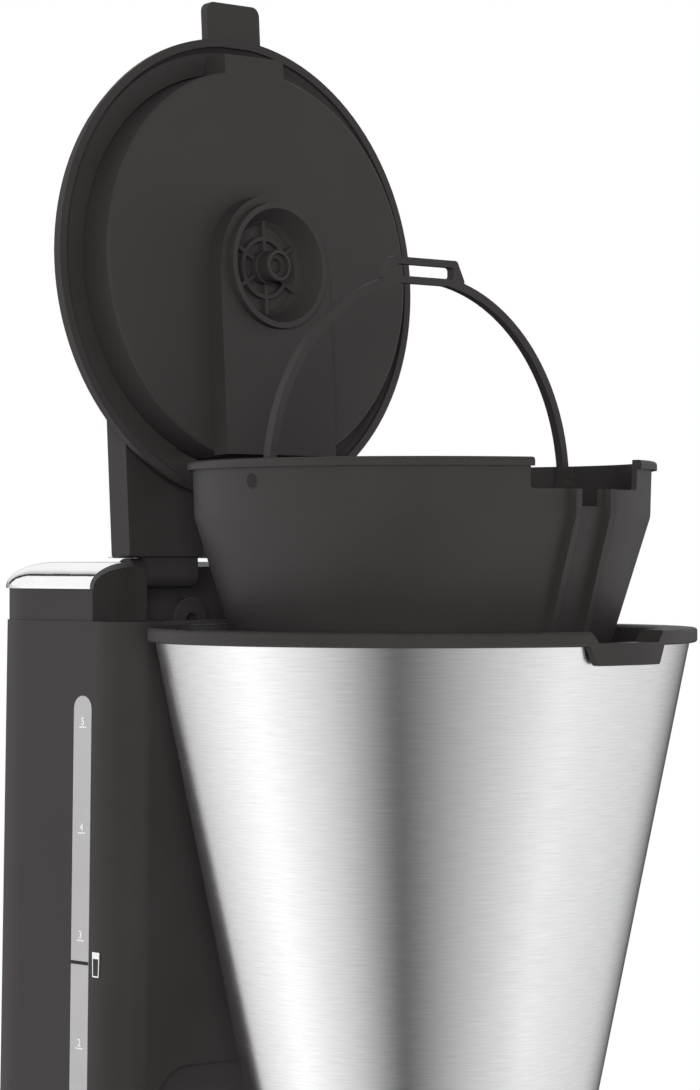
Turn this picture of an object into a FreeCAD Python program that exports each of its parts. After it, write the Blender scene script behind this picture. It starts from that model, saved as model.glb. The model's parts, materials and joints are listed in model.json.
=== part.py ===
import FreeCAD, Part
import math
import os

from FreeCAD import Vector

# Drip coffee maker, open for filling: millimetres, +Z up, the front faces -Y.
# Pieces are drawn about the brew axis, the vertical axis of the steel cone, and at the end
# everything moves along Y so that the origin is the middle of the footprint.

# Overall sizes
CAP_TOP = 310.0
TOWER_FRONT = 62.0
TOWER_BACK = 123.0
TOWER_HALF_WIDTH = 48.0
SIDE_DRAFT = math.radians(0.9)
BACK_DRAFT = math.radians(0.3)
WALL = 2.4
EASE = 0.3
SEAT = 0.1
RUNNING = 0.05

# Foot, base plate and base housing
FOOT_HEIGHT = 3.0
FOOT_RADIUS = 8.0
FOOT_CHAMFER = 1.0
FOOT_STUD_RADIUS = 5.0
FOOT_STUD_HEIGHT = 1.5
FRONT_FOOT_X = 38.0
FRONT_FOOT_Y = -36.0
REAR_FOOT_X = 40.0
REAR_FOOT_INSET = 14.0
PLATE_THICKNESS = 3.0
BASE_HEIGHT = 26.0
BASE_FRONT_RADIUS = 64.0
BASE_CORNER = 20.0
BASE_EDGE = 3.0
BASE_MARGIN = 0.8
SCREW_X = 50.0
SCREW_Y = 10.0
REAR_SCREW_X = 43.0
REAR_SCREW_Y = 72.0
SCREW_RADIUS = 1.5
SCREW_HEAD_RADIUS = 3.0
SCREW_HEAD_HEIGHT = 1.6
SCREW_LENGTH = 12.0
BOSS_RADIUS = 4.5
JUG_PLATE_RADIUS = 46.0
JUG_PLATE_THICKNESS = 2.0
JUG_PLATE_PROUD = 0.4
SERVICE_HALF_WIDTH = 30.0
SERVICE_FRONT = 74.0

# Heater and water path
HEATER_RADIUS = 33.0
HEATER_WIDTH = 15.0
HEATER_HEIGHT = 9.0
HEATER_FLOOR_GAP = 1.5
HEATER_GAP_ANGLE = 100.0
HEATER_STUB = 12.0
PIPE_LEAD = 16.0
PIPE_RADIUS = 3.5
HOSE_RADIUS = 4.0
HOSE_BEND = 10.0
HOSE_X = 18.0
HOSE_Y = 84.0
VALVE_BODY_RADIUS = 6.5
VALVE_BODY_LENGTH = 22.0
VALVE_BODY_HEIGHT = 70.0
RISER_Y = 108.0
RISER_BEND = 8.0
THERMOSTAT_RADIUS = 7.0
THERMOSTAT_HEIGHT = 4.5
THERMOSTAT_FLANGE = 1.0
THERMOSTAT_CAN = 5.5
FUSE_RADIUS = 2.0
FUSE_LENGTH = 16.0
FUSE_ANGLE = 225.0

# Switch, button and cord gland
BUTTON_RADIUS = 6.5
BUTTON_PROUD = 1.4
BUTTON_TRAVEL = 1.5
BUTTON_HEIGHT = 15.0
BUTTON_FLANGE = 1.2
SWITCH_WIDTH = 16.0
SWITCH_DEPTH = 9.0
SWITCH_HEIGHT = 13.0
SWITCH_CORNER = 1.0
GLAND_X = -24.0
GLAND_HEIGHT = 15.0
GLAND_RADIUS = 5.5
GLAND_BORE = 3.4
GLAND_FLANGE = 1.2

# Tower, tank and gauge
DECK_HEIGHT = 294.5
DECK_THICKNESS = 2.5
TOWER_FRONT_CORNER = 10.0
TOWER_BACK_CORNER = 20.0
SMALLEST_CORNER = 1.0
NICHE_HALF_WIDTH = 36.7
NICHE_TOP = 177.7
NICHE_CORNER = 11.0
NICHE_DEPTH = 5.0
TANK_FLOOR = 118.0
TANK_RIM_GAP = 1.0
TANK_WALL = 1.8
TANK_GAP = 0.3
MOUTH_HALF_WIDTH = 32.0
MOUTH_CORNER = 4.0
NOZZLE_WALL_Y = 92.6
NOZZLE_WALL_THICKNESS = 4.0
NOZZLE_WALL_DROP = 12.0
GAUGE_Y = 77.5
GAUGE_WIDTH = 7.2
GAUGE_TOP = 275.0
GAUGE_BOTTOM = 143.0

# Tower top: black band, chrome cap and lid hinge
BAND_HEIGHT = 8.5
BAND_INSET = 0.5
CAP_FRONT = 74.5
CAP_LIP = 0.4
CAP_SKIN = 1.3
CAP_SHOULDER_WIDTH = 14.0
CAP_SHOULDER_HEIGHT = 6.6
CAP_STEPS = 8
HINGE_Y = 77.2
HINGE_Z = 307.0
HINGE_BARREL = 4.0
HINGE_PIN = 1.5
HINGE_BAY = 34.0
EAR_THICKNESS = 4.0
EAR_CLEAR = 0.3
KNUCKLE_INNER = 12.0
PIN_LENGTH = 14.0
NOZZLE_Z = 294.1
NOZZLE_RADIUS = 6.2
NOZZLE_THICKNESS = 1.8
NOZZLE_BORE = 2.0
SEAL_THICKNESS = 1.0
SEAL_RADIUS = 5.4

# Cone, collar and carrier
CONE_TOP_RADIUS = 68.0
CONE_TOP = 289.8
CONE_BOTTOM = 170.0
CONE_SLOPE = 0.2015
STEEL = 0.8
COLLAR_TOP = 293.5
COLLAR_PROUD = 2.0
COLLAR_WIDTH = 7.5
COLLAR_SKIRT = 5.3
LEDGE_TOP = 287.0
LEDGE_WIDTH = 3.6
COLLAR_EDGE = 0.8
NOTCH_X = 2.3
NOTCH_HALF_WIDTH = 11.0
NOTCH_FLOOR = 290.6
NOTCH_FLARE = 2.5
APRON_HALF_WIDTH = 14.2
APRON_DROP = 4.6
APRON_TAPER = 2.7
APRON_THICKNESS = 1.8
APRON_CORNER = 1.0
LEDGE_GAP_HALF_WIDTH = 19.0
CARRIER_WALL = 1.8
BRACKET_HALF_WIDTH = 18.0
BRACKET_LOW = 214.0
BRACKET_HIGH = 262.0
BRACKET_SCREW_SPACING = 28.0
CONE_BOTTOM_THICKNESS = 2.3
CONE_BOTTOM_HOLE = 15.0
CONE_BOTTOM_RIM = 4.0
CONE_BOTTOM_EDGE = 1.0

# Lid
LID_OPEN = 93.3
LID_REACH = 80.6
LID_MARGIN = 7.0
LID_RIM_GAP = 0.3
LID_RIM_LAND = 1.2
LID_SLOPE_WIDTH = 15.5
LID_TOP = 309.8
LID_CROWN_BEND = 14.0
LID_WALL = 2.2
LID_REAR_CUT = 24.0
LID_REAR_RELIEF = 3.0
NECK_HALF_WIDTH = 37.5
NECK_GAP = 0.2
NECK_TOP = 310.2
NECK_UNDER = 300.8
NECK_CORNER = 0.8
TRIM_THICKNESS = 1.9
TRIM_ARC_MARGIN = 17.0
GUTTER_DEPTH = 2.4
GUTTER_FLOOR = 1.4
NECK_SLOT_LENGTH = 12.0
TAB_HALF_WIDTH = 9.4
TAB_LENGTH = 9.6
TAB_THICKNESS = 2.5
TAB_CORNER = 2.5
INSERT_MARGIN = 9.8
INSERT_DEPTH = 7.7
INSERT_WALL = 2.0
INSERT_REAR = 30.0
INSERT_EDGE = 0.8
LUG_HALF_WIDTH = 10.5
LUG_REACH = 3.8
TONGUE_HALF_WIDTH = 19.5
TONGUE_HEIGHT = 5.3
TONGUE_RING = 2.0
WELL_RADIUS = 17.0
WELL_WALL = 1.5
WELL_PROUD = 2.0
WELL_DEPTH = 6.0
GRID_RADIUS = 12.6
GRID_RING = 7.8
GRID_HUB = 4.5
GRID_BAR = 1.1
GRID_THICKNESS = 1.4
GRID_SPOKES = 6
GRID_HUB_EDGE = 0.5

# Filter basket, bail and drip valve
BASKET_LIFT = 46.0
BASKET_RIM_GAP = 2.7
BASKET_RIM = 2.2
BASKET_RIM_OVERHANG = 1.3
BASKET_WALL = 1.6
BASKET_KINK_STEP = 0.4
BASKET_KINK = 14.0
BASKET_SLOPE = 0.311
BASKET_FLOOR = 178.4
BASKET_FLOOR_THICKNESS = 1.6
BASKET_FLOOR_BEND = 3.0
BASKET_KINK_BEND = 6.0
BASKET_RIM_OVER = 0.9
BASKET_NOTCH_CORNER = 1.0
BASKET_NOTCH_LEFT = -18.0
BASKET_NOTCH_RIGHT = 21.4
BASKET_NOTCH_DEPTH = 7.6
BASKET_SLOT_HALF_WIDTH = 4.5
BASKET_SLOT_DEPTH = 4.2
STRIP_GAP = 0.6
STRIP_WIDTH = 2.0
STRIP_HEIGHT = 2.2
BASKET_RIBS = 12
RIB_THICKNESS = 1.2
RIB_HEIGHT = 1.4
SPOUT_RADIUS = 11.0
SPOUT_WALL = 1.6
SPOUT_BOTTOM = 168.5
BAIL_PIVOT_DROP = 5.5
BAIL_MARGIN = 4.3
BAIL_WIDTH = 2.2
BAIL_DEPTH = 2.4
BAIL_PIN = 2.0
GRIP_HALF_WIDTH = 15.0
GRIP_TOP_HALF_WIDTH = 11.6
GRIP_RISE = 4.9
GRIP_HEIGHT = 6.6
GRIP_BAR = 1.8
GRIP_END = 2.6
GRIP_CORNER = 1.2
GRIP_WINDOW_CORNER = 1.0
VALVE_STEM = 3.0
VALVE_TIP = 162.0
VALVE_HEAD_RADIUS = 7.5
VALVE_HEAD = 1.6
VALVE_HEAD_EDGE = 0.5
VALVE_POINT = 1.0
VALVE_SEAL = 0.9
VALVE_FLANGE_RADIUS = 6.4
VALVE_FLANGE = 1.4
SPRING_RADIUS = 5.2
SPRING_WIRE = 0.45
SPRING_TURNS = 5

# Thermal jug
JUG_RADIUS = 47.0
JUG_FLOOR_GAP = 0.3
JUG_BASE_HEIGHT = 8.0
JUG_SHOULDER = 128.0
JUG_NECK_RADIUS = 38.0
JUG_NECK_BOTTOM = 140.0
JUG_NECK_TOP = 150.0
JUG_STEEL = 1.0
JUG_VACUUM = 3.0
JUG_SHOULDER_BEND = 8.0
JUG_FLOOR_BEND = 6.0
JUG_FOOT_BEND = 2.0
JUG_SPOUT_REACH = 8.0
JUG_SPOUT_HALF_WIDTH = 9.0
JUG_SPOUT_CORNER = 6.0
JUG_LID_TOP = 158.0
JUG_LID_EDGE = 2.5
PLUG_GAP = 1.5
PLUG_EDGE = 1.0
JUG_LID_HOLE = 6.0
JUG_LID_FUNNEL = 16.0
HANDLE_REACH = 84.0
HANDLE_HALF_WIDTH = 9.0
HANDLE_THICKNESS = 9.0
HANDLE_LOW = 58.0
HANDLE_CORNER = 16.0
HANDLE_BEND = 112.0
HANDLE_BEND_RADIUS = 40.0
HANDLE_LEAN = 8.0
HANDLE_EDGE = 2.5
LEVER_HALF_WIDTH = 7.0
LEVER_LENGTH = 26.0
LEVER_THICKNESS = 3.0
LEVER_PIVOT_Y = -27.0
LEVER_PIN = 1.2
LEVER_SWING = 2.2
LEVER_EDGE = 1.4

# Heights and radii that follow from the sizes above
PLATE_TOP = FOOT_HEIGHT + PLATE_THICKNESS
BAND_TOP = DECK_HEIGHT + BAND_HEIGHT
BASE_HALF_WIDTH = TOWER_HALF_WIDTH + (DECK_HEIGHT - BASE_HEIGHT) * math.tan(SIDE_DRAFT) + BASE_MARGIN
BASE_BACK = TOWER_BACK + (DECK_HEIGHT - BASE_HEIGHT) * math.tan(BACK_DRAFT) + BASE_MARGIN
HEATER_BOTTOM = PLATE_TOP + HEATER_FLOOR_GAP
HEATER_TOP = HEATER_BOTTOM + HEATER_HEIGHT
JUG_PLATE_TOP = BASE_HEIGHT + JUG_PLATE_PROUD
JUG_BOTTOM = JUG_PLATE_TOP + JUG_FLOOR_GAP
SERVICE_BACK = RISER_Y + PIPE_RADIUS + WALL
COLLAR_RADIUS = CONE_TOP_RADIUS + COLLAR_PROUD
COLLAR_INNER = COLLAR_RADIUS - COLLAR_WIDTH
LEDGE_RADIUS = COLLAR_INNER - LEDGE_WIDTH
BASKET_RIM_RADIUS = COLLAR_INNER - BASKET_RIM_GAP
BASKET_MOUTH_RADIUS = BASKET_RIM_RADIUS - BASKET_RIM_OVERHANG
BASKET_KINK_RADIUS = BASKET_MOUTH_RADIUS - BASKET_KINK_STEP
BAIL_RADIUS = BASKET_MOUTH_RADIUS - BASKET_WALL - BAIL_MARGIN
GRIP_TOP = BAIL_RADIUS + GRIP_RISE
LID_RADIUS = COLLAR_RADIUS - LID_MARGIN
LID_TOP_RADIUS = LID_RADIUS - LID_SLOPE_WIDTH
TRIM_ARC_RADIUS = LID_RADIUS - TRIM_ARC_MARGIN
INSERT_RADIUS = LID_RADIUS - INSERT_MARGIN
LID_Y = HINGE_Y - LID_REACH
NECK_END = HINGE_BARREL + NECK_GAP
LID_RIM = COLLAR_TOP + LID_RIM_GAP
INSERT_FACE = LID_RIM - INSERT_DEPTH
TONGUE_FACE = INSERT_FACE - TONGUE_HEIGHT
WELL_FACE = TONGUE_FACE - WELL_PROUD
BASKET_TOP = LEDGE_TOP + EASE + BASKET_RIM
BAIL_Z = BASKET_TOP - BAIL_PIVOT_DROP
VALVE_FLANGE_LOW = VALVE_TIP + VALVE_POINT
VALVE_FLANGE_TOP = VALVE_FLANGE_LOW + VALVE_FLANGE
JUG_MOUTH = JUG_NECK_RADIUS - JUG_STEEL - JUG_VACUUM
PLUG_RADIUS = JUG_MOUTH - JUG_STEEL - PLUG_GAP
ORIGIN_Y = (BASE_BACK + GLAND_FLANGE - HANDLE_REACH) / 2


# Drawing helpers

def rounded_outline(corners, place):
    """Closed wire through (u, v, radius) corners, each rounded by its radius, put in space by place."""
    stretches = []
    count = len(corners)
    for index in range(count):
        u, v, radius = corners[index]
        corner = Vector(u, v, 0)
        before = Vector(*corners[index - 1][:2], 0) - corner
        after = Vector(*corners[(index + 1) % count][:2], 0) - corner
        if radius == 0:
            stretches.append((corner, None, corner))
            continue
        half = before.getAngle(after) / 2
        before.normalize()
        after.normalize()
        reach = radius / math.tan(half)
        middle = before + after
        middle.normalize()
        bend = corner + middle * (radius / math.sin(half) - radius)
        stretches.append((corner + before * reach, bend, corner + after * reach))
    edges = []
    for index in range(count):
        start, bend, end = stretches[index]
        following = stretches[(index + 1) % count][0]
        if bend is not None:
            edges.append(Part.Arc(place(start), place(bend), place(end)).toShape())
        if (following - end).Length > 1e-6:
            edges.append(Part.LineSegment(place(end), place(following)).toShape())
    return Part.Wire(edges)


def square(corners):
    """The same corners with no rounding."""
    return [(u, v, 0) for u, v in corners]


def box_corners(low_u, high_u, low_v, high_v, radius=0):
    """Corners of a rectangle."""
    return [(low_u, low_v, radius), (high_u, low_v, radius), (high_u, high_v, radius),
            (low_u, high_v, radius)]


def slab(corners, low, high):
    """An outline in X and Y, raised from one height to another."""
    wire = rounded_outline(corners, lambda point: Vector(point.x, point.y, low))
    return Part.Face(wire).extrude(Vector(0, 0, high - low))


def bar_x(corners, left, right):
    """An outline in Y and Z, drawn out along X."""
    wire = rounded_outline(corners, lambda point: Vector(left, point.x, point.y))
    return Part.Face(wire).extrude(Vector(right - left, 0, 0))


def bar_y(corners, front, back):
    """An outline in X and Z, drawn out along Y."""
    wire = rounded_outline(corners, lambda point: Vector(point.x, front, point.y))
    return Part.Face(wire).extrude(Vector(0, back - front, 0))


def turned(corners, x=0.0, y=0.0, sweep=360.0, start=0.0):
    """An outline in radius and height, turned about a vertical axis."""
    wire = rounded_outline(corners, lambda point: Vector(x + point.x, y, point.y))
    face = Part.Face(wire)
    axis = Vector(x, y, 0)
    up = Vector(0, 0, 1)
    face.rotate(axis, up, start)
    return face.revolve(axis, up, sweep)


def rod(start, end, radius):
    """A round bar from one point to another."""
    run = end - start
    return Part.makeCylinder(radius, run.Length, start, run)


def disc(radius, low, high, x=0.0, y=0.0):
    """An upright cylinder."""
    return Part.makeCylinder(radius, high - low, Vector(x, y, low))


def ring(outer, inner, low, high, x=0.0, y=0.0):
    """An upright ring with square edges."""
    return disc(outer, low, high, x, y).cut(disc(inner, low, high, x, y))


def tube_path(points, bend):
    """Straight runs joined by tangent arcs."""
    edges = []
    last = points[0]
    for before, corner, after in zip(points, points[1:], points[2:]):
        back = before - corner
        ahead = after - corner
        half = back.getAngle(ahead) / 2
        back.normalize()
        ahead.normalize()
        reach = bend / math.tan(half)
        middle = back + ahead
        middle.normalize()
        start = corner + back * reach
        end = corner + ahead * reach
        edges.append(Part.LineSegment(last, start).toShape())
        edges.append(Part.Arc(start, corner + middle * (bend / math.sin(half) - bend), end).toShape())
        last = end
    edges.append(Part.LineSegment(last, points[-1]).toShape())
    return Part.Wire(edges)


def tube(points, radius, bend):
    """A round tube along straight runs and tangent arcs."""
    path = tube_path(points, bend)
    run = points[1] - points[0]
    section = Part.Wire(Part.makeCircle(radius, points[0], run))
    return path.makePipeShell([section], True, False)


def joined(*shapes):
    """One solid out of pieces that meet."""
    return shapes[0].fuse(list(shapes[1:])).removeSplitter()


def group(solids):
    """Separate solids that share a node."""
    return Part.makeCompound(solids)


def both_sides(shape):
    """A shape and its mirror image across the middle plane."""
    return [shape, shape.mirror(Vector(0, 0, 0), Vector(1, 0, 0))]


def edges_at(shape, low, high):
    """The edges that lie wholly between two heights."""
    return [edge for edge in shape.Edges if low <= edge.BoundBox.ZMin and edge.BoundBox.ZMax <= high]


def cone_radius(height):
    """Outside radius of the steel cone at a height."""
    return CONE_TOP_RADIUS - (CONE_TOP - height) * CONE_SLOPE


# Base

def base_outline(inset, height):
    """Round front about the brew axis, straight sides and rounded back corners, drawn in by an inset."""
    radius = BASE_FRONT_RADIUS - inset
    half = BASE_HALF_WIDTH - inset
    back = BASE_BACK - inset
    corner = BASE_CORNER - inset
    turn = math.atan2(back, half) - math.acos(radius / math.hypot(half, back))
    touch = Vector(radius * math.cos(turn), radius * math.sin(turn), height)
    mirrored = Vector(-touch.x, touch.y, height)
    front = Part.Arc(mirrored, Vector(0, -radius, height), touch).toShape()
    rear = rounded_outline(
        [(touch.x, touch.y, 0), (half, back, corner), (-half, back, corner), (-touch.x, touch.y, 0)],
        lambda point: Vector(point.x, point.y, height))
    sides = [edge for edge in rear.Edges if edge.CenterOfMass.y > touch.y + 1e-3]
    return Part.Wire(Part.sortEdges([front] + sides)[0])


def base_block(inset, low, high):
    """The base outline raised between two heights."""
    return Part.Face(base_outline(inset, low)).extrude(Vector(0, 0, high - low))


def foot_places():
    """Centres of the four feet."""
    rear = BASE_BACK - REAR_FOOT_INSET
    return [(side * x, y) for side in (-1, 1) for x, y in ((FRONT_FOOT_X, FRONT_FOOT_Y), (REAR_FOOT_X, rear))]


def screw_places():
    """Centres of the four base screws."""
    return [(side * x, y) for side in (-1, 1) for x, y in ((SCREW_X, SCREW_Y), (REAR_SCREW_X, REAR_SCREW_Y))]


def make_base_housing():
    shell = base_block(0, PLATE_TOP, BASE_HEIGHT)
    shell = shell.makeFillet(BASE_EDGE, edges_at(shell, BASE_HEIGHT - SEAT, BASE_HEIGHT + SEAT))
    shell = shell.cut(base_block(WALL, PLATE_TOP, BASE_HEIGHT - WALL))
    seat_floor = JUG_PLATE_TOP - JUG_PLATE_THICKNESS
    shell = shell.fuse(disc(JUG_PLATE_RADIUS + WALL, seat_floor - WALL, BASE_HEIGHT - WALL))
    shell = shell.cut(disc(JUG_PLATE_RADIUS + SEAT, seat_floor, BASE_HEIGHT))
    bosses = [disc(BOSS_RADIUS, PLATE_TOP, BASE_HEIGHT - WALL, x, y) for x, y in screw_places()]
    shell = shell.fuse(bosses)
    holes = [disc(SCREW_RADIUS + RUNNING, PLATE_TOP, FOOT_HEIGHT + SCREW_LENGTH + EASE, x, y)
             for x, y in screw_places()]
    service = slab(box_corners(-SERVICE_HALF_WIDTH, SERVICE_HALF_WIDTH, SERVICE_FRONT, SERVICE_BACK,
                               MOUTH_CORNER),
                   PLATE_TOP, BASE_HEIGHT)
    button_hole = rod(Vector(0, -BASE_FRONT_RADIUS - WALL, BUTTON_HEIGHT),
                      Vector(0, -BASE_FRONT_RADIUS + 2 * WALL, BUTTON_HEIGHT), BUTTON_RADIUS + EASE)
    gland_hole = rod(Vector(GLAND_X, BASE_BACK + WALL, GLAND_HEIGHT),
                     Vector(GLAND_X, BASE_BACK - 2 * WALL, GLAND_HEIGHT), GLAND_RADIUS)
    return shell.cut(holes + [service, button_hole, gland_hole]).removeSplitter()


def make_base_plate():
    plate = base_block(0, FOOT_HEIGHT, PLATE_TOP)
    sockets = [disc(FOOT_STUD_RADIUS, FOOT_HEIGHT, FOOT_HEIGHT + FOOT_STUD_HEIGHT, x, y)
               for x, y in foot_places()]
    heads = [disc(SCREW_HEAD_RADIUS + SEAT, FOOT_HEIGHT, FOOT_HEIGHT + SCREW_HEAD_HEIGHT, x, y)
             for x, y in screw_places()]
    holes = [disc(SCREW_RADIUS + SEAT, FOOT_HEIGHT, PLATE_TOP, x, y) for x, y in screw_places()]
    return plate.cut(sockets + heads + holes)


def make_rubber_feet():
    feet = []
    for x, y in foot_places():
        pad = turned(square([(0, 0), (FOOT_RADIUS - FOOT_CHAMFER, 0), (FOOT_RADIUS, FOOT_CHAMFER),
                             (FOOT_RADIUS, FOOT_HEIGHT), (0, FOOT_HEIGHT)]), x, y)
        stud = disc(FOOT_STUD_RADIUS, FOOT_HEIGHT, FOOT_HEIGHT + FOOT_STUD_HEIGHT, x, y)
        feet.append(joined(pad, stud))
    return group(feet)


def make_base_screws():
    screws = []
    for x, y in screw_places():
        head = disc(SCREW_HEAD_RADIUS, FOOT_HEIGHT, FOOT_HEIGHT + SCREW_HEAD_HEIGHT, x, y)
        shank = disc(SCREW_RADIUS, FOOT_HEIGHT, FOOT_HEIGHT + SCREW_LENGTH, x, y)
        screws.append(joined(head, shank))
    return group(screws)


def make_jug_plate():
    low = JUG_PLATE_TOP - JUG_PLATE_THICKNESS
    dish = JUG_PLATE_PROUD
    rim = JUG_PLATE_RADIUS - 2 * WALL
    return turned([(0, low, 0), (JUG_PLATE_RADIUS, low, 0), (JUG_PLATE_RADIUS, JUG_PLATE_TOP, dish),
                   (rim, JUG_PLATE_TOP, 0), (rim - dish, JUG_PLATE_TOP - dish, 0),
                   (0, JUG_PLATE_TOP - dish, 0)])


# Heater and water path

def heater_end(side):
    """Centre of a heater end face and the way its stub points; side -1 is the inlet, 1 the outlet."""
    angle = math.radians(90 - side * HEATER_GAP_ANGLE / 2)
    place = Vector(HEATER_RADIUS * math.cos(angle), HEATER_RADIUS * math.sin(angle),
                   HEATER_BOTTOM + HEATER_HEIGHT / 2)
    return place, Vector(-side * math.sin(angle), side * math.cos(angle), 0)


def make_heater():
    inner = HEATER_RADIUS - HEATER_WIDTH / 2
    outer = HEATER_RADIUS + HEATER_WIDTH / 2
    body = turned(box_corners(inner, outer, HEATER_BOTTOM, HEATER_TOP, HEATER_HEIGHT / 3),
                  sweep=360 - HEATER_GAP_ANGLE, start=90 + HEATER_GAP_ANGLE / 2)
    stubs = []
    for side in (-1, 1):
        place, way = heater_end(side)
        stubs.append(rod(place - way, place + way * HEATER_STUB, PIPE_RADIUS))
    return joined(body, *stubs)


def stub_tip(side):
    """End of a heater stub."""
    place, way = heater_end(side)
    return place + way * HEATER_STUB


def make_inlet_hose():
    tip = stub_tip(-1)
    way = heater_end(-1)[1]
    low = Vector(-HOSE_X, HOSE_Y, tip.z)
    points = [tip, tip + way * PIPE_LEAD, low, Vector(-HOSE_X, HOSE_Y, VALVE_BODY_HEIGHT)]
    return tube(points, HOSE_RADIUS, HOSE_BEND)


def make_check_valve():
    low = VALVE_BODY_HEIGHT
    high = low + VALVE_BODY_LENGTH
    cone = VALVE_BODY_RADIUS - HOSE_RADIUS
    body = turned([(0, low, 0), (HOSE_RADIUS, low, 0), (VALVE_BODY_RADIUS, low + cone, 0),
                   (VALVE_BODY_RADIUS, high - cone, 0), (HOSE_RADIUS, high, 0), (0, high, 0)],
                  -HOSE_X, HOSE_Y)
    upper = disc(HOSE_RADIUS, high, TANK_FLOOR - VALVE_BODY_RADIUS, -HOSE_X, HOSE_Y)
    return joined(body, upper)


def make_riser_pipe():
    tip = stub_tip(1)
    lead = tip + heater_end(1)[1] * PIPE_LEAD
    low = Vector(0, RISER_Y, tip.z)
    top = Vector(0, RISER_Y, NOZZLE_Z)
    end = Vector(0, NOZZLE_WALL_Y + NOZZLE_WALL_THICKNESS, NOZZLE_Z)
    return tube([tip, lead, low, top, end], PIPE_RADIUS, RISER_BEND)


def make_thermostat():
    low = HEATER_TOP
    flange = disc(THERMOSTAT_RADIUS, low, low + THERMOSTAT_FLANGE, 0, -HEATER_RADIUS)
    can = disc(THERMOSTAT_CAN, low, low + THERMOSTAT_HEIGHT, 0, -HEATER_RADIUS)
    return joined(flange, can)


def make_thermal_fuse():
    angle = math.radians(FUSE_ANGLE)
    centre = Vector(HEATER_RADIUS * math.cos(angle), HEATER_RADIUS * math.sin(angle),
                    HEATER_TOP + FUSE_RADIUS)
    way = Vector(-math.sin(angle), math.cos(angle), 0) * (FUSE_LENGTH / 2)
    return rod(centre - way, centre + way, FUSE_RADIUS)


# Switch, button and cord gland

def button_seat():
    """Where the button's flange rests behind the round front wall."""
    inside = BASE_FRONT_RADIUS - WALL
    flange = BUTTON_RADIUS + BUTTON_FLANGE
    return EASE - math.sqrt(inside ** 2 - flange ** 2)


def make_power_button():
    face = -BASE_FRONT_RADIUS - BUTTON_PROUD
    flange = button_seat()
    cap = rod(Vector(0, face, BUTTON_HEIGHT), Vector(0, flange, BUTTON_HEIGHT), BUTTON_RADIUS)
    rim = [edge for edge in cap.Edges if edge.BoundBox.YMax < face + SEAT]
    cap = cap.makeFillet(BUTTON_PROUD / 2, rim)
    collar = rod(Vector(0, flange, BUTTON_HEIGHT), Vector(0, flange + BUTTON_FLANGE, BUTTON_HEIGHT),
                 BUTTON_RADIUS + BUTTON_FLANGE)
    return joined(cap, collar)


def make_switch_body():
    front = button_seat() + BUTTON_FLANGE + BUTTON_TRAVEL + EASE
    return bar_y(box_corners(-SWITCH_WIDTH / 2, SWITCH_WIDTH / 2, PLATE_TOP, PLATE_TOP + SWITCH_HEIGHT,
                              SWITCH_CORNER),
                 front, front + SWITCH_DEPTH)


def make_cord_gland():
    inside = Vector(GLAND_X, BASE_BACK - 2 * WALL, GLAND_HEIGHT)
    outside = Vector(GLAND_X, BASE_BACK, GLAND_HEIGHT)
    face = outside + Vector(0, GLAND_FLANGE, 0)
    body = joined(rod(inside, outside, GLAND_RADIUS), rod(outside, face, GLAND_RADIUS + GLAND_FLANGE))
    return body.cut(rod(inside, face, GLAND_BORE))


# Tower and tank

def tower_section(height, inset, front_inset):
    """Rounded plan of the tower at a height, drawn in by an inset."""
    drop = DECK_HEIGHT - height
    half = TOWER_HALF_WIDTH + drop * math.tan(SIDE_DRAFT) - inset
    back = TOWER_BACK + drop * math.tan(BACK_DRAFT) - inset
    front = TOWER_FRONT + front_inset
    near = max(TOWER_FRONT_CORNER - inset, SMALLEST_CORNER)
    far = max(TOWER_BACK_CORNER - inset, SMALLEST_CORNER)
    corners = [(-half, front, near), (half, front, near), (half, back, far), (-half, back, far)]
    return rounded_outline(corners, lambda point: Vector(point.x, point.y, height))


def tower_block(inset, low, high):
    """The drafted tower between two heights, drawn in by an inset."""
    return Part.makeLoft([tower_section(low, inset, inset), tower_section(high, inset, inset)], True, True)


def cone_room(gap):
    """The space that the cone and its collar take, grown by a gap."""
    step = CONE_TOP - COLLAR_SKIRT - gap
    top = CAP_TOP
    return turned(square([(0, CONE_BOTTOM), (cone_radius(CONE_BOTTOM) + gap, CONE_BOTTOM),
                          (cone_radius(step) + gap, step), (COLLAR_RADIUS + gap, step),
                          (COLLAR_RADIUS + gap, top), (0, top)]))


def gauge_prism(gap):
    """The gauge's round-ended outline, drawn through the left wall and grown by a gap."""
    half = GAUGE_WIDTH / 2 + gap
    reach = 2 * TOWER_HALF_WIDTH
    corners = [(GAUGE_Y - half, GAUGE_BOTTOM - gap, half - SEAT),
               (GAUGE_Y + half, GAUGE_BOTTOM - gap, half - SEAT),
               (GAUGE_Y + half, GAUGE_TOP + gap, half - SEAT), (GAUGE_Y - half, GAUGE_TOP + gap, half - SEAT)]
    return bar_x(corners, -reach, 0)


def mouth_prism(low, high):
    """The filling mouth: from behind the collar to the nozzle wall."""
    front = TOWER_FRONT + WALL
    return slab(box_corners(-MOUTH_HALF_WIDTH, MOUTH_HALF_WIDTH, front, NOZZLE_WALL_Y, MOUTH_CORNER),
                low, high)


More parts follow.
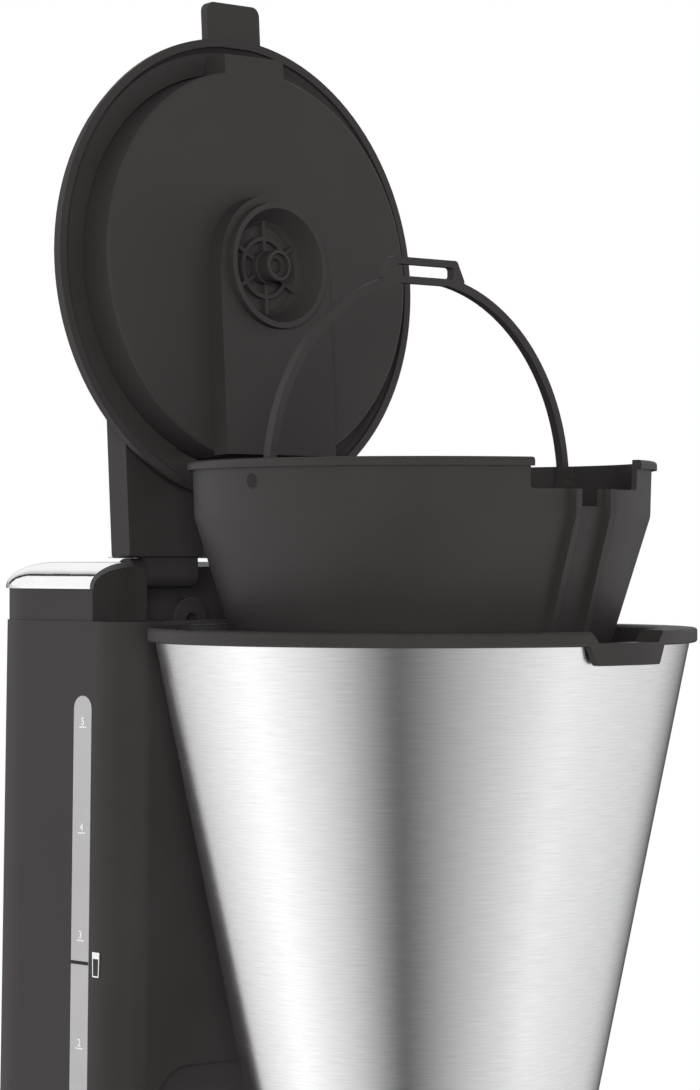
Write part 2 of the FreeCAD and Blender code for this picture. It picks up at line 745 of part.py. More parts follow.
def make_tower_shell():
    room = tower_block(WALL, BASE_HEIGHT, DECK_HEIGHT - DECK_THICKNESS)
    niche_back = TOWER_FRONT + NICHE_DEPTH
    niche = [(-NICHE_HALF_WIDTH, BASE_HEIGHT, 0), (NICHE_HALF_WIDTH, BASE_HEIGHT, 0),
             (NICHE_HALF_WIDTH, NICHE_TOP, NICHE_CORNER), (-NICHE_HALF_WIDTH, NICHE_TOP, NICHE_CORNER)]
    grown = [(-NICHE_HALF_WIDTH - WALL, BASE_HEIGHT, 0), (NICHE_HALF_WIDTH + WALL, BASE_HEIGHT, 0),
             (NICHE_HALF_WIDTH + WALL, NICHE_TOP + WALL, NICHE_CORNER),
             (-NICHE_HALF_WIDTH - WALL, NICHE_TOP + WALL, NICHE_CORNER)]
    room = room.cut([cone_room(EASE + WALL), bar_y(grown, TOWER_FRONT, niche_back + WALL)])
    shell = tower_block(0, BASE_HEIGHT, DECK_HEIGHT).cut(room)
    mouth = mouth_prism(DECK_HEIGHT - 2 * DECK_THICKNESS, DECK_HEIGHT).cut(cone_room(EASE + WALL))
    back_room = slab(box_corners(-MOUTH_HALF_WIDTH, MOUTH_HALF_WIDTH, NOZZLE_WALL_Y - SEAT,
                                 RISER_Y + 2 * PIPE_RADIUS, MOUTH_CORNER),
                     DECK_HEIGHT - 2 * DECK_THICKNESS, DECK_HEIGHT)
    screws = [rod(Vector(0, TOWER_FRONT - WALL, z), Vector(0, TOWER_FRONT + 2 * WALL, z),
                  SCREW_RADIUS + RUNNING)
              for z in bracket_screw_heights()]
    cuts = [cone_room(2 * EASE), bar_y(niche, TOWER_FRONT - WALL, niche_back), gauge_prism(SEAT), mouth,
            back_room]
    return shell.cut(cuts + screws).removeSplitter()


def make_gauge_window():
    skin = tower_block(0, BASE_HEIGHT, DECK_HEIGHT).cut(tower_block(WALL, BASE_HEIGHT, DECK_HEIGHT))
    return skin.common(gauge_prism(0))


def make_water_tank():
    rim = DECK_HEIGHT - DECK_THICKNESS - TANK_RIM_GAP
    outside = WALL + TANK_GAP
    niche_room = slab(box_corners(-NICHE_HALF_WIDTH - 2 * WALL, NICHE_HALF_WIDTH + 2 * WALL, TOWER_FRONT,
                                  TOWER_FRONT + NICHE_DEPTH + WALL + TANK_GAP), TANK_FLOOR - SEAT,
                      NICHE_TOP + WALL + TANK_GAP)
    riser = PIPE_RADIUS + TANK_GAP
    riser_room = slab(box_corners(-riser - EASE, riser + EASE, RISER_Y - riser - EASE, TOWER_BACK + WALL),
                      TANK_FLOOR - SEAT, rim + SEAT)
    riser_wall = slab(box_corners(-riser - EASE - TANK_WALL, riser + EASE + TANK_WALL,
                                  RISER_Y - riser - EASE - TANK_WALL, TOWER_BACK + WALL),
                      TANK_FLOOR - SEAT, rim + SEAT)
    niche_wall = slab(box_corners(-NICHE_HALF_WIDTH - 2 * WALL - TANK_WALL,
                                  NICHE_HALF_WIDTH + 2 * WALL + TANK_WALL,
                                  TOWER_FRONT, TOWER_FRONT + NICHE_DEPTH + WALL + TANK_GAP + TANK_WALL),
                      TANK_FLOOR - SEAT, NICHE_TOP + WALL + TANK_GAP + TANK_WALL)
    drop = slab(box_corners(-MOUTH_HALF_WIDTH, MOUTH_HALF_WIDTH, NOZZLE_WALL_Y - SEAT, TOWER_BACK),
                DECK_HEIGHT - NOZZLE_WALL_DROP - TANK_GAP, rim + SEAT)
    gap = EASE + WALL + TANK_GAP
    tank = tower_block(outside, TANK_FLOOR, rim).cut([cone_room(gap), niche_room, riser_room])
    inside = tower_block(outside + TANK_WALL, TANK_FLOOR + TANK_WALL, rim)
    inside = inside.cut([cone_room(gap + TANK_WALL), niche_wall, riser_wall])
    tank = tank.cut([inside, drop])
    spout = disc(HOSE_RADIUS + TANK_WALL, TANK_FLOOR - VALVE_BODY_RADIUS, TANK_FLOOR + SEAT, -HOSE_X, HOSE_Y)
    bore = disc(HOSE_RADIUS - TANK_WALL, TANK_FLOOR - VALVE_BODY_RADIUS, TANK_FLOOR + 2 * TANK_WALL,
                -HOSE_X, HOSE_Y)
    return joined(tank, spout).cut(bore)


# Tower top, hinge and water outlet

def top_outline(grow):
    """Plan of the band and the cap as corners, grown past the tower's own outline."""
    half = TOWER_HALF_WIDTH + grow
    back = TOWER_BACK + grow
    return [(-half, CAP_FRONT, 0), (half, CAP_FRONT, 0), (half, back, TOWER_BACK_CORNER + grow),
            (-half, back, TOWER_BACK_CORNER + grow)]


def crown(inset):
    """The cap's domed block above the band, drawn in at the sides, the back and the top by an inset."""
    shoulder = Part.Ellipse(Vector(0, 0, 0), CAP_SHOULDER_WIDTH, CAP_SHOULDER_HEIGHT)
    lip = CAP_TOP - CAP_SHOULDER_HEIGHT
    layers = []
    for step in range(CAP_STEPS + 1):
        angle = step * math.pi / 2 / CAP_STEPS
        place = shoulder.value(angle)
        grow = CAP_LIP - inset - CAP_SHOULDER_WIDTH + place.x
        height = lip + place.y - inset * math.sin(angle)
        layers.append(rounded_outline(top_outline(grow), lambda point: Vector(point.x, point.y, height)))
    dome = Part.makeLoft(layers, True, False)
    return joined(slab(top_outline(CAP_LIP - inset), BAND_TOP, lip), dome)


def hinge_bay(low, high):
    """The open bay between the cap's cheeks, where the lid's hinge turns."""
    return slab(box_corners(-HINGE_BAY, HINGE_BAY, CAP_FRONT - WALL, NOZZLE_WALL_Y), low, high)


def ear_outline():
    """A hinge ear seen from the side: a round head on a straight stalk."""
    stalk = HINGE_BARREL
    return [(HINGE_Y - stalk, DECK_HEIGHT, 0), (HINGE_Y + stalk, DECK_HEIGHT, 0),
            (HINGE_Y + stalk, HINGE_Z + HINGE_BARREL, HINGE_BARREL - SEAT),
            (HINGE_Y - stalk, HINGE_Z + HINGE_BARREL, HINGE_BARREL - SEAT)]


def make_tower_top_band():
    band = joined(slab(top_outline(-BAND_INSET), DECK_HEIGHT, BAND_TOP), crown(CAP_SKIN + SEAT))
    band = band.cut(hinge_bay(DECK_HEIGHT, CAP_TOP))
    low = DECK_HEIGHT - NOZZLE_WALL_DROP
    back = NOZZLE_WALL_Y + NOZZLE_WALL_THICKNESS
    wall_half = MOUTH_HALF_WIDTH - MOUTH_CORNER - EASE
    wall = slab(box_corners(-wall_half, wall_half, NOZZLE_WALL_Y, back), low, DECK_HEIGHT)
    riser_room = joined(
        rod(Vector(0, back, NOZZLE_Z), Vector(0, RISER_Y + PIPE_RADIUS, NOZZLE_Z), PIPE_RADIUS + EASE),
        disc(PIPE_RADIUS + EASE, low, NOZZLE_Z + PIPE_RADIUS + EASE, 0, RISER_Y))
    nozzle_bore = rod(Vector(0, NOZZLE_WALL_Y, NOZZLE_Z), Vector(0, back, NOZZLE_Z), PIPE_RADIUS + RUNNING)
    ears = both_sides(bar_x(ear_outline(), HINGE_BAY - EAR_THICKNESS, HINGE_BAY))
    band = joined(band, wall, *ears).cut([riser_room, nozzle_bore])
    pin_bore = rod(Vector(-HINGE_BAY, HINGE_Y, HINGE_Z), Vector(HINGE_BAY, HINGE_Y, HINGE_Z), HINGE_PIN)
    return band.cut(pin_bore)


def make_top_cap():
    return crown(0).cut([crown(CAP_SKIN), hinge_bay(BAND_TOP, CAP_TOP)])


def make_hinge_pins():
    end = HINGE_BAY - PIN_LENGTH
    return group(both_sides(rod(Vector(end, HINGE_Y, HINGE_Z), Vector(HINGE_BAY, HINGE_Y, HINGE_Z),
                                HINGE_PIN)))


def make_water_nozzle():
    face = NOZZLE_WALL_Y - SEAL_THICKNESS - NOZZLE_THICKNESS
    back = NOZZLE_WALL_Y + NOZZLE_WALL_THICKNESS
    front = Vector(0, face, NOZZLE_Z)
    head = rod(front, Vector(0, NOZZLE_WALL_Y - SEAL_THICKNESS, NOZZLE_Z), NOZZLE_RADIUS)
    head = head.makeFillet(NOZZLE_THICKNESS / 3,
                           [edge for edge in head.Edges if edge.BoundBox.YMax < face + SEAT])
    tail = Vector(0, back, NOZZLE_Z)
    stem = rod(front, tail, PIPE_RADIUS)
    return joined(head, stem).cut(rod(front, tail, NOZZLE_BORE))


def make_nozzle_seal():
    near = Vector(0, NOZZLE_WALL_Y - SEAL_THICKNESS, NOZZLE_Z)
    far = Vector(0, NOZZLE_WALL_Y, NOZZLE_Z)
    return rod(near, far, SEAL_RADIUS).cut(rod(near, far, PIPE_RADIUS))


# Cone

def bracket_screw_heights():
    """Heights of the screws that hold the cone's bracket to the tower."""
    middle = (BRACKET_LOW + BRACKET_HIGH) / 2
    return [middle - BRACKET_SCREW_SPACING / 2, middle + BRACKET_SCREW_SPACING / 2]


def bracket_prism(grow):
    """The bracket between the cone and the tower's front, grown by a gap."""
    return bar_y(box_corners(-BRACKET_HALF_WIDTH - grow, BRACKET_HALF_WIDTH + grow, BRACKET_LOW - grow,
                             BRACKET_HIGH + grow, MOUTH_CORNER), 0, TOWER_FRONT)


def make_steel_cone():
    skin = turned(square([(cone_radius(CONE_BOTTOM), CONE_BOTTOM), (CONE_TOP_RADIUS, CONE_TOP),
                          (CONE_TOP_RADIUS - STEEL, CONE_TOP),
                          (cone_radius(CONE_BOTTOM) - STEEL, CONE_BOTTOM)]))
    return skin.cut(bracket_prism(EASE))


def apron_outline():
    """Front apron under the collar's notch, in X and Z."""
    low = CONE_TOP - APRON_DROP
    high = CONE_TOP + COLLAR_EDGE
    left = NOTCH_X - APRON_HALF_WIDTH
    right = NOTCH_X + APRON_HALF_WIDTH
    return [(left, high, 0), (right, high, 0), (right - APRON_TAPER, low, APRON_CORNER),
            (left + APRON_TAPER, low, APRON_CORNER)]


def make_cone_collar():
    inside = CONE_TOP_RADIUS - STEEL - EASE
    skirt = CONE_TOP - COLLAR_SKIRT
    body = turned([(COLLAR_INNER, COLLAR_TOP, COLLAR_EDGE), (COLLAR_INNER, LEDGE_TOP, 0),
                   (LEDGE_RADIUS, LEDGE_TOP, 0),
                   (LEDGE_RADIUS, skirt, 0), (cone_radius(skirt) - STEEL - EASE, skirt, 0),
                   (inside, CONE_TOP, 0),
                   (COLLAR_RADIUS, CONE_TOP, COLLAR_EDGE), (COLLAR_RADIUS, COLLAR_TOP, COLLAR_EDGE)])
    low = CONE_TOP - APRON_DROP
    apron = ring(COLLAR_RADIUS, COLLAR_RADIUS - APRON_THICKNESS, low, CONE_TOP + COLLAR_EDGE)
    apron = apron.common(bar_y(apron_outline(), -COLLAR_RADIUS - WALL, 0))
    left = NOTCH_X - NOTCH_HALF_WIDTH
    right = NOTCH_X + NOTCH_HALF_WIDTH
    notch = bar_y(square([(left, NOTCH_FLOOR), (right, NOTCH_FLOOR), (right + NOTCH_FLARE, COLLAR_TOP),
                          (right + NOTCH_FLARE, CAP_TOP), (left - NOTCH_FLARE, CAP_TOP),
                          (left - NOTCH_FLARE, COLLAR_TOP)]),
                  -COLLAR_RADIUS - WALL, -LEDGE_RADIUS / 2)
    ledge_gap = slab(box_corners(-LEDGE_GAP_HALF_WIDTH, LEDGE_GAP_HALF_WIDTH, -COLLAR_INNER,
                                 -LEDGE_RADIUS / 2),
                     skirt, COLLAR_TOP)
    ledge_gap = ledge_gap.common(disc(COLLAR_INNER, skirt, COLLAR_TOP))
    return joined(body, apron).cut([notch, ledge_gap]).removeSplitter()


def make_cone_carrier():
    top = CONE_TOP - COLLAR_SKIRT
    low = CONE_BOTTOM + CONE_BOTTOM_RIM
    gap = STEEL + EASE
    shell = turned(square([(cone_radius(low) - gap, low), (cone_radius(top) - gap, top),
                           (cone_radius(top) - gap - CARRIER_WALL, top),
                           (cone_radius(low) - gap - CARRIER_WALL, low)]))
    hollow = turned(square([(0, low), (cone_radius(low) - gap - CARRIER_WALL, low),
                            (cone_radius(top) - gap - CARRIER_WALL, top), (0, top)]))
    bracket = bracket_prism(0).cut(hollow)
    screws = []
    for z in bracket_screw_heights():
        screws.append(rod(Vector(0, 0, z), Vector(0, TOWER_FRONT, z), SCREW_RADIUS + SEAT))
    return joined(shell, bracket).cut(screws)


def make_bracket_screws():
    screws = []
    for z in bracket_screw_heights():
        seat = cone_radius(z - SCREW_HEAD_RADIUS) - STEEL - EASE - CARRIER_WALL - SEAT
        head = rod(Vector(0, seat - SCREW_HEAD_HEIGHT, z), Vector(0, seat, z), SCREW_HEAD_RADIUS)
        shank = rod(Vector(0, seat - SCREW_HEAD_HEIGHT, z), Vector(0, TOWER_FRONT + WALL, z), SCREW_RADIUS)
        screws.append(joined(head, shank))
    return group(screws)


def make_cone_bottom():
    low = CONE_BOTTOM - CONE_BOTTOM_THICKNESS
    rim = CONE_BOTTOM + CONE_BOTTOM_RIM
    outer = cone_radius(CONE_BOTTOM)
    plug = outer - STEEL - EASE
    return turned([(CONE_BOTTOM_HOLE, low, 0), (outer - CONE_BOTTOM_EDGE, low, 0),
                   (outer, low + CONE_BOTTOM_EDGE, 0), (outer, CONE_BOTTOM, 0),
                   (plug, CONE_BOTTOM, 0), (plug, rim, 0), (plug - CARRIER_WALL, rim, 0),
                   (plug - CARRIER_WALL, CONE_BOTTOM, 0), (CONE_BOTTOM_HOLE, CONE_BOTTOM, 0)])


# Lid, drawn closed and then swung open

def opened(shape):
    """A lid piece swung from closed to fully open."""
    turned_shape = shape.copy()
    turned_shape.rotate(Vector(0, HINGE_Y, HINGE_Z), Vector(1, 0, 0), -LID_OPEN)
    return turned_shape


def lid_dome(inset):
    """The lid's domed outside, drawn in by an inset, as a solid down to the rim plane."""
    rim = LID_RADIUS - inset
    top = LID_TOP - inset
    crown = LID_TOP_RADIUS - inset / 2
    return turned([(0, LID_RIM, 0), (rim, LID_RIM, 0), (rim, LID_RIM + LID_RIM_LAND, 0),
                   (crown, top, LID_CROWN_BEND),
                   (0, top, 0)], 0, LID_Y)


def lid_inside(radius):
    """Height of the dome's inner slope at a radius from the lid's centre."""
    rim = LID_RADIUS - LID_WALL
    crown = LID_TOP_RADIUS - LID_WALL / 2
    start = LID_RIM + LID_RIM_LAND
    return start + (LID_TOP - LID_WALL - start) * (rim - radius) / (rim - crown)


def neck_block(low, high, radius):
    """The neck's plan between two heights, from the hinge to an arc about the lid's centre."""
    rear = HINGE_Y - NECK_END
    plan = slab([(-NECK_HALF_WIDTH, LID_Y, 0), (NECK_HALF_WIDTH, LID_Y, 0),
                 (NECK_HALF_WIDTH, rear, NECK_CORNER),
                 (-NECK_HALF_WIDTH, rear, NECK_CORNER)], low, high)
    return plan.cut(disc(radius, low, high, 0, LID_Y))


def make_lid_shell():
    shell = lid_dome(0)
    neck = neck_block(NECK_UNDER, NECK_TOP - TRIM_THICKNESS, TRIM_ARC_RADIUS)
    rear_cut = joined(
        slab(box_corners(-LID_REAR_CUT, LID_REAR_CUT, LID_Y, HINGE_Y), LID_RIM, LID_RIM + LID_REAR_RELIEF),
        slab(box_corners(-KNUCKLE_INNER, KNUCKLE_INNER, LID_Y, HINGE_Y), LID_RIM, NECK_UNDER))
    inner = lid_dome(LID_WALL)
    gutter = LID_RIM + GUTTER_DEPTH
    floor = ring(LID_RADIUS - LID_WALL / 2, INSERT_RADIUS + EASE, gutter, gutter + GUTTER_FLOOR, 0, LID_Y)
    shell = joined(joined(shell, neck).cut(inner.cut(neck)), floor)
    shell = shell.cut(rear_cut.cut(disc(INSERT_RADIUS - INSERT_WALL, LID_RIM, NECK_UNDER, 0, LID_Y)))
    shell = shell.cut(neck_block(NECK_TOP - TRIM_THICKNESS, CAP_TOP + WALL, TRIM_ARC_RADIUS))
    front = LID_Y - LID_RADIUS
    tab = slab([(-TAB_HALF_WIDTH, front - TAB_LENGTH, TAB_CORNER),
                (TAB_HALF_WIDTH, front - TAB_LENGTH, TAB_CORNER),
                (TAB_HALF_WIDTH, front + WALL, 0), (-TAB_HALF_WIDTH, front + WALL, 0)],
               LID_RIM, LID_RIM + TAB_THICKNESS)
    outer = HINGE_BAY - EAR_THICKNESS - EAR_CLEAR
    rear = HINGE_Y - NECK_END
    knuckle = joined(rod(Vector(KNUCKLE_INNER, HINGE_Y, HINGE_Z), Vector(outer, HINGE_Y, HINGE_Z),
                         HINGE_BARREL),
                     bar_x(box_corners(rear - WALL, HINGE_Y, HINGE_Z - HINGE_BARREL, HINGE_Z),
                           KNUCKLE_INNER, outer))
    shell = joined(shell, tab, *both_sides(knuckle))
    slot = slab(box_corners(-KNUCKLE_INNER, KNUCKLE_INNER, HINGE_Y - NECK_SLOT_LENGTH, HINGE_Y),
                NECK_UNDER, NECK_TOP - TRIM_THICKNESS)
    bore = rod(Vector(-HINGE_BAY, HINGE_Y, HINGE_Z), Vector(HINGE_BAY, HINGE_Y, HINGE_Z), HINGE_PIN + RUNNING)
    return opened(shell.cut([slot, bore]).removeSplitter())


def make_lid_trim():
    return opened(neck_block(NECK_TOP - TRIM_THICKNESS, NECK_TOP, TRIM_ARC_RADIUS))


def tongue_block():
    """The raised water channel: round about the well and straight to the rear."""
    well = disc(WELL_RADIUS + TONGUE_RING, TONGUE_FACE, INSERT_FACE, 0, LID_Y)
    run = slab(box_corners(-TONGUE_HALF_WIDTH, TONGUE_HALF_WIDTH, LID_Y, HINGE_Y - INSERT_REAR),
               TONGUE_FACE, INSERT_FACE)
    return joined(well, run)


def make_lid_insert():
    top = min(lid_inside(INSERT_RADIUS) - 2 * EASE, NECK_UNDER)
    plate = turned([(0, INSERT_FACE, 0), (INSERT_RADIUS, INSERT_FACE, INSERT_EDGE), (INSERT_RADIUS, top, 0),
                    (0, top, 0)], 0, LID_Y)
    lug = slab(box_corners(-LUG_HALF_WIDTH, LUG_HALF_WIDTH, LID_Y - INSERT_RADIUS - LUG_REACH, LID_Y),
               INSERT_FACE, LID_RIM)
    hollow = disc(INSERT_RADIUS - INSERT_WALL, INSERT_FACE + INSERT_WALL, top, 0, LID_Y)
    plate = joined(plate, lug).cut(hollow)
    rear = HINGE_Y - INSERT_REAR
    beyond = slab(box_corners(-LID_RADIUS, LID_RADIUS, rear, HINGE_Y), TONGUE_FACE, top)
    wall = slab(box_corners(-LID_RADIUS, LID_RADIUS, rear - INSERT_WALL, rear), INSERT_FACE, top)
    wall = wall.common(disc(INSERT_RADIUS, INSERT_FACE, top, 0, LID_Y))
    plate = joined(plate.cut(beyond), wall, tongue_block())
    well = disc(WELL_RADIUS - SEAT, WELL_FACE, top, 0, LID_Y)
    return opened(plate.cut(well).removeSplitter())


def make_spray_head():
    outer = WELL_RADIUS - 2 * SEAT
    floor = WELL_FACE + WELL_DEPTH
    back = floor + GRID_THICKNESS
    funnel = turned([(outer, WELL_FACE, 0), (outer, back, 0), (GRID_RADIUS - GRID_BAR, back, 0),
                     (GRID_RADIUS, floor, 0), (outer - WELL_WALL, WELL_FACE, 0)], 0, LID_Y)
    inner = ring(GRID_RING + GRID_BAR / 2, GRID_RING - GRID_BAR / 2, floor, back, 0, LID_Y)
    hub = turned([(0, floor - GRID_THICKNESS, 0), (GRID_HUB, floor - GRID_THICKNESS, GRID_HUB_EDGE),
                  (GRID_HUB, back, 0),
                  (0, back, 0)], 0, LID_Y)
    spokes = []
    for index in range(GRID_SPOKES):
        spoke = slab(box_corners(-GRID_BAR / 2, GRID_BAR / 2, LID_Y + GRID_HUB / 2, LID_Y + GRID_RADIUS),
                     floor, back)
        spoke.rotate(Vector(0, LID_Y, 0), Vector(0, 0, 1), index * 360 / GRID_SPOKES)
        spokes.append(spoke)
    return opened(joined(funnel, inner, hub, *spokes))


# Filter basket, bail and drip valve, drawn seated and then lifted

def lifted(shape):
    """A basket piece raised from its seat to where it stands in the open machine."""
    raised = shape.copy()
    raised.translate(Vector(0, 0, BASKET_LIFT))
    return raised


def basket_side(inset):
    """Corners of the basket's side from the rim down to the floor, drawn in by an inset."""
    kink = BASKET_TOP - BASKET_KINK
    floor = BASKET_FLOOR
    low = BASKET_KINK_RADIUS - (kink - floor) * BASKET_SLOPE
    return [(BASKET_MOUTH_RADIUS - inset, BASKET_TOP), (BASKET_KINK_RADIUS - inset, kink),
            (low - inset, floor)]


def make_filter_basket():
    side = basket_side(0)
    inside = basket_side(BASKET_WALL)
    floor = BASKET_FLOOR + BASKET_FLOOR_THICKNESS
    body = turned([(0, BASKET_FLOOR, 0), (side[2][0], BASKET_FLOOR, BASKET_FLOOR_BEND),
                   (side[1][0], side[1][1], BASKET_KINK_BEND),
                   (side[0][0], BASKET_TOP, 0), (0, BASKET_TOP, 0)])
    low_inside = inside[2][0] + BASKET_FLOOR_THICKNESS * BASKET_SLOPE
    hollow = turned([(0, floor, 0), (low_inside, floor, BASKET_FLOOR_BEND),
                     (inside[1][0], inside[1][1], BASKET_KINK_BEND),
                     (inside[0][0], BASKET_TOP, 0), (0, BASKET_TOP, 0)])
    rim = turned([(BASKET_MOUTH_RADIUS - BASKET_WALL, BASKET_TOP - BASKET_RIM, 0),
                  (BASKET_RIM_RADIUS, BASKET_TOP - BASKET_RIM, 0),
                  (BASKET_RIM_RADIUS, BASKET_TOP, BASKET_RIM_OVER),
                  (BASKET_MOUTH_RADIUS - BASKET_WALL, BASKET_TOP, 0)])
    strip_out = [(-u - STRIP_HEIGHT, v) for u, v in side]
    strip_in = [(-u, v) for u, v in inside]
    strip_inner = BASKET_SLOT_HALF_WIDTH + STRIP_GAP
    strip = bar_x(square(strip_out + strip_in[::-1]), strip_inner, strip_inner + STRIP_WIDTH)
    spout = ring(SPOUT_RADIUS, SPOUT_RADIUS - SPOUT_WALL, SPOUT_BOTTOM, BASKET_FLOOR)
    basket = joined(body.cut(hollow), rim, spout, *both_sides(strip))
    ribs = []
    rib = bar_y(square(inside[1:] + [(low_inside - RIB_HEIGHT, floor),
                                     (inside[1][0] - RIB_HEIGHT, inside[1][1])]),
                -RIB_THICKNESS / 2, RIB_THICKNESS / 2)
    for index in range(BASKET_RIBS):
        turned_rib = rib.copy()
        turned_rib.rotate(Vector(0, 0, 0), Vector(0, 0, 1), (index + 0.5) * 360 / BASKET_RIBS)
        ribs.append(turned_rib)
    notch_low = BASKET_TOP - BASKET_NOTCH_DEPTH
    front = -BASKET_RIM_RADIUS - WALL
    notch = bar_y([(BASKET_NOTCH_LEFT, notch_low, BASKET_NOTCH_CORNER),
                   (BASKET_NOTCH_RIGHT, notch_low, BASKET_NOTCH_CORNER),
                   (BASKET_NOTCH_RIGHT, BASKET_TOP + WALL, 0), (BASKET_NOTCH_LEFT, BASKET_TOP + WALL, 0)],
                  front, -BASKET_RIM_RADIUS / 2)
    slot = bar_y(box_corners(-BASKET_SLOT_HALF_WIDTH, BASKET_SLOT_HALF_WIDTH, notch_low - BASKET_SLOT_DEPTH,
                             BASKET_TOP), front, -BASKET_RIM_RADIUS / 2)
    pins = rod(Vector(-BASKET_RIM_RADIUS, 0, BAIL_Z), Vector(BASKET_RIM_RADIUS, 0, BAIL_Z),
               BAIL_PIN + RUNNING)
    stem = disc(VALVE_STEM + RUNNING, SPOUT_BOTTOM, floor)
    basket = joined(basket, *ribs).cut([notch, slot, pins, stem])
    return lifted(basket)


def make_bail_handle():
    half = BAIL_WIDTH / 2
    arch = rod(Vector(0, -BAIL_DEPTH / 2, BAIL_Z), Vector(0, BAIL_DEPTH / 2, BAIL_Z), BAIL_RADIUS + half)
    arch = arch.cut(rod(Vector(0, -BAIL_DEPTH, BAIL_Z), Vector(0, BAIL_DEPTH, BAIL_Z), BAIL_RADIUS - half))
    upper = bar_y(box_corners(-BASKET_RIM_RADIUS, BASKET_RIM_RADIUS, BAIL_Z, BAIL_Z + 2 * GRIP_TOP), -WALL,
                  WALL)
    arch = arch.common(upper)
    grip_low = BAIL_Z + GRIP_TOP - GRIP_HEIGHT
    grip_high = BAIL_Z + GRIP_TOP
    grip = bar_y([(-GRIP_HALF_WIDTH, grip_low, GRIP_CORNER), (GRIP_HALF_WIDTH, grip_low, GRIP_CORNER),
                  (GRIP_TOP_HALF_WIDTH, grip_high, GRIP_CORNER),
                  (-GRIP_TOP_HALF_WIDTH, grip_high, GRIP_CORNER)],
                 -BAIL_DEPTH / 2, BAIL_DEPTH / 2)
    window_half = GRIP_TOP_HALF_WIDTH - GRIP_END / 2
    window = bar_y(box_corners(-window_half, window_half, grip_low + GRIP_BAR, grip_high - GRIP_BAR,
                               GRIP_WINDOW_CORNER), -BAIL_DEPTH, BAIL_DEPTH)
    wall_outside = BASKET_MOUTH_RADIUS - SEAT
    ends = []
    for side in (-1, 1):
        ends.append(rod(Vector(side * (BAIL_RADIUS - half), 0, BAIL_Z),
                        Vector(side * wall_outside, 0, BAIL_Z), BAIL_PIN))
    handle = joined(arch, grip, *ends).cut(window).removeSplitter()
    return lifted(handle)


def make_drip_valve():
    floor = BASKET_FLOOR + BASKET_FLOOR_THICKNESS
    head = floor + VALVE_SEAL
    body = turned([(0, VALVE_TIP, 0), (VALVE_STEM - VALVE_POINT, VALVE_TIP, 0),
                   (VALVE_STEM, VALVE_FLANGE_LOW, 0),
                   (VALVE_FLANGE_RADIUS, VALVE_FLANGE_LOW, 0), (VALVE_FLANGE_RADIUS, VALVE_FLANGE_TOP, 0),
                   (VALVE_STEM, VALVE_FLANGE_TOP, 0), (VALVE_STEM, head, 0), (VALVE_HEAD_RADIUS, head, 0),
                   (VALVE_HEAD_RADIUS, head + VALVE_HEAD, VALVE_HEAD_EDGE), (0, head + VALVE_HEAD, 0)])
    return lifted(body)


def make_valve_seal():
    floor = BASKET_FLOOR + BASKET_FLOOR_THICKNESS
    return lifted(ring(VALVE_HEAD_RADIUS, VALVE_STEM, floor, floor + VALVE_SEAL))


def spring_points(low, high):
    """Points of the spring's helix at each quarter turn."""
    quarters = 4 * SPRING_TURNS
    points = []
    for index in range(quarters + 1):
        angle = index * math.pi / 2
        height = low + (high - low) * index / quarters
        points.append(Vector(SPRING_RADIUS * math.cos(angle), SPRING_RADIUS * math.sin(angle), height))
    return points


def make_valve_spring():
    low = VALVE_FLANGE_TOP + SPRING_WIRE + SEAT
    high = BASKET_FLOOR - SPRING_WIRE - SEAT
    points = spring_points(low, high)
    rise = (high - low) / (4 * SPRING_TURNS)
    arcs = []
    for index in range(4 * SPRING_TURNS):
        angle = (index + 0.5) * math.pi / 2
        middle = Vector(SPRING_RADIUS * math.cos(angle), SPRING_RADIUS * math.sin(angle),
                        points[index].z + rise / 2)
        arcs.append(Part.Arc(points[index], middle, points[index + 1]).toShape())
    path = Part.Wire(arcs)
    way = arcs[0].tangentAt(arcs[0].FirstParameter)
    section = Part.Wire(Part.makeCircle(SPRING_WIRE, points[0], way))
    print("valve spring, gap between turns", round(4 * rise - 2 * SPRING_WIRE, 2))
    return lifted(path.makePipeShell([section], True, False))


# Thermal jug

def jug_outside(inset):
    """Corners of the jug's steel wall from the bottom to the neck, drawn in by an inset."""
    low = JUG_BOTTOM + JUG_BASE_HEIGHT
    return [(JUG_RADIUS - inset, low, 0), (JUG_RADIUS - inset, JUG_SHOULDER, JUG_SHOULDER_BEND),
            (JUG_NECK_RADIUS - inset, JUG_NECK_BOTTOM, 0)]


def make_jug_shell():
    low = JUG_BOTTOM + JUG_BASE_HEIGHT
    solid = turned([(0, low, 0)] + jug_outside(0) + [(0, JUG_NECK_BOTTOM, 0)])
    hollow = turned([(0, low, 0)] + jug_outside(JUG_STEEL) + [(0, JUG_NECK_BOTTOM, 0)])
    return solid.cut(hollow)


def make_jug_liner():
    gap = JUG_STEEL + JUG_VACUUM
    low = JUG_BOTTOM + JUG_BASE_HEIGHT
    walls = []
    for inset in (gap, gap + JUG_STEEL):
        mouth = JUG_NECK_RADIUS - inset
        walls.append(turned([(0, low + inset, 0), (JUG_RADIUS - inset, low + inset, JUG_FLOOR_BEND),
                             (JUG_RADIUS - inset, JUG_SHOULDER - gap, JUG_SHOULDER_BEND),
                             (mouth, JUG_NECK_BOTTOM - gap, 0), (mouth, JUG_NECK_TOP, 0),
                             (0, JUG_NECK_TOP, 0)]))
    return walls[0].cut(walls[1])


def make_jug_base():
    low = JUG_BOTTOM
    high = low + JUG_BASE_HEIGHT
    gap = JUG_STEEL + JUG_VACUUM
    cup = turned([(0, low, 0), (JUG_RADIUS, low, JUG_FOOT_BEND), (JUG_RADIUS, high, 0),
                  (JUG_RADIUS - gap, high, 0),
                  (JUG_RADIUS - gap, low + gap, 0), (0, low + gap, 0)])
    pillar = disc(JUG_NECK_RADIUS / 2, low, high + gap)
    return joined(cup, pillar)


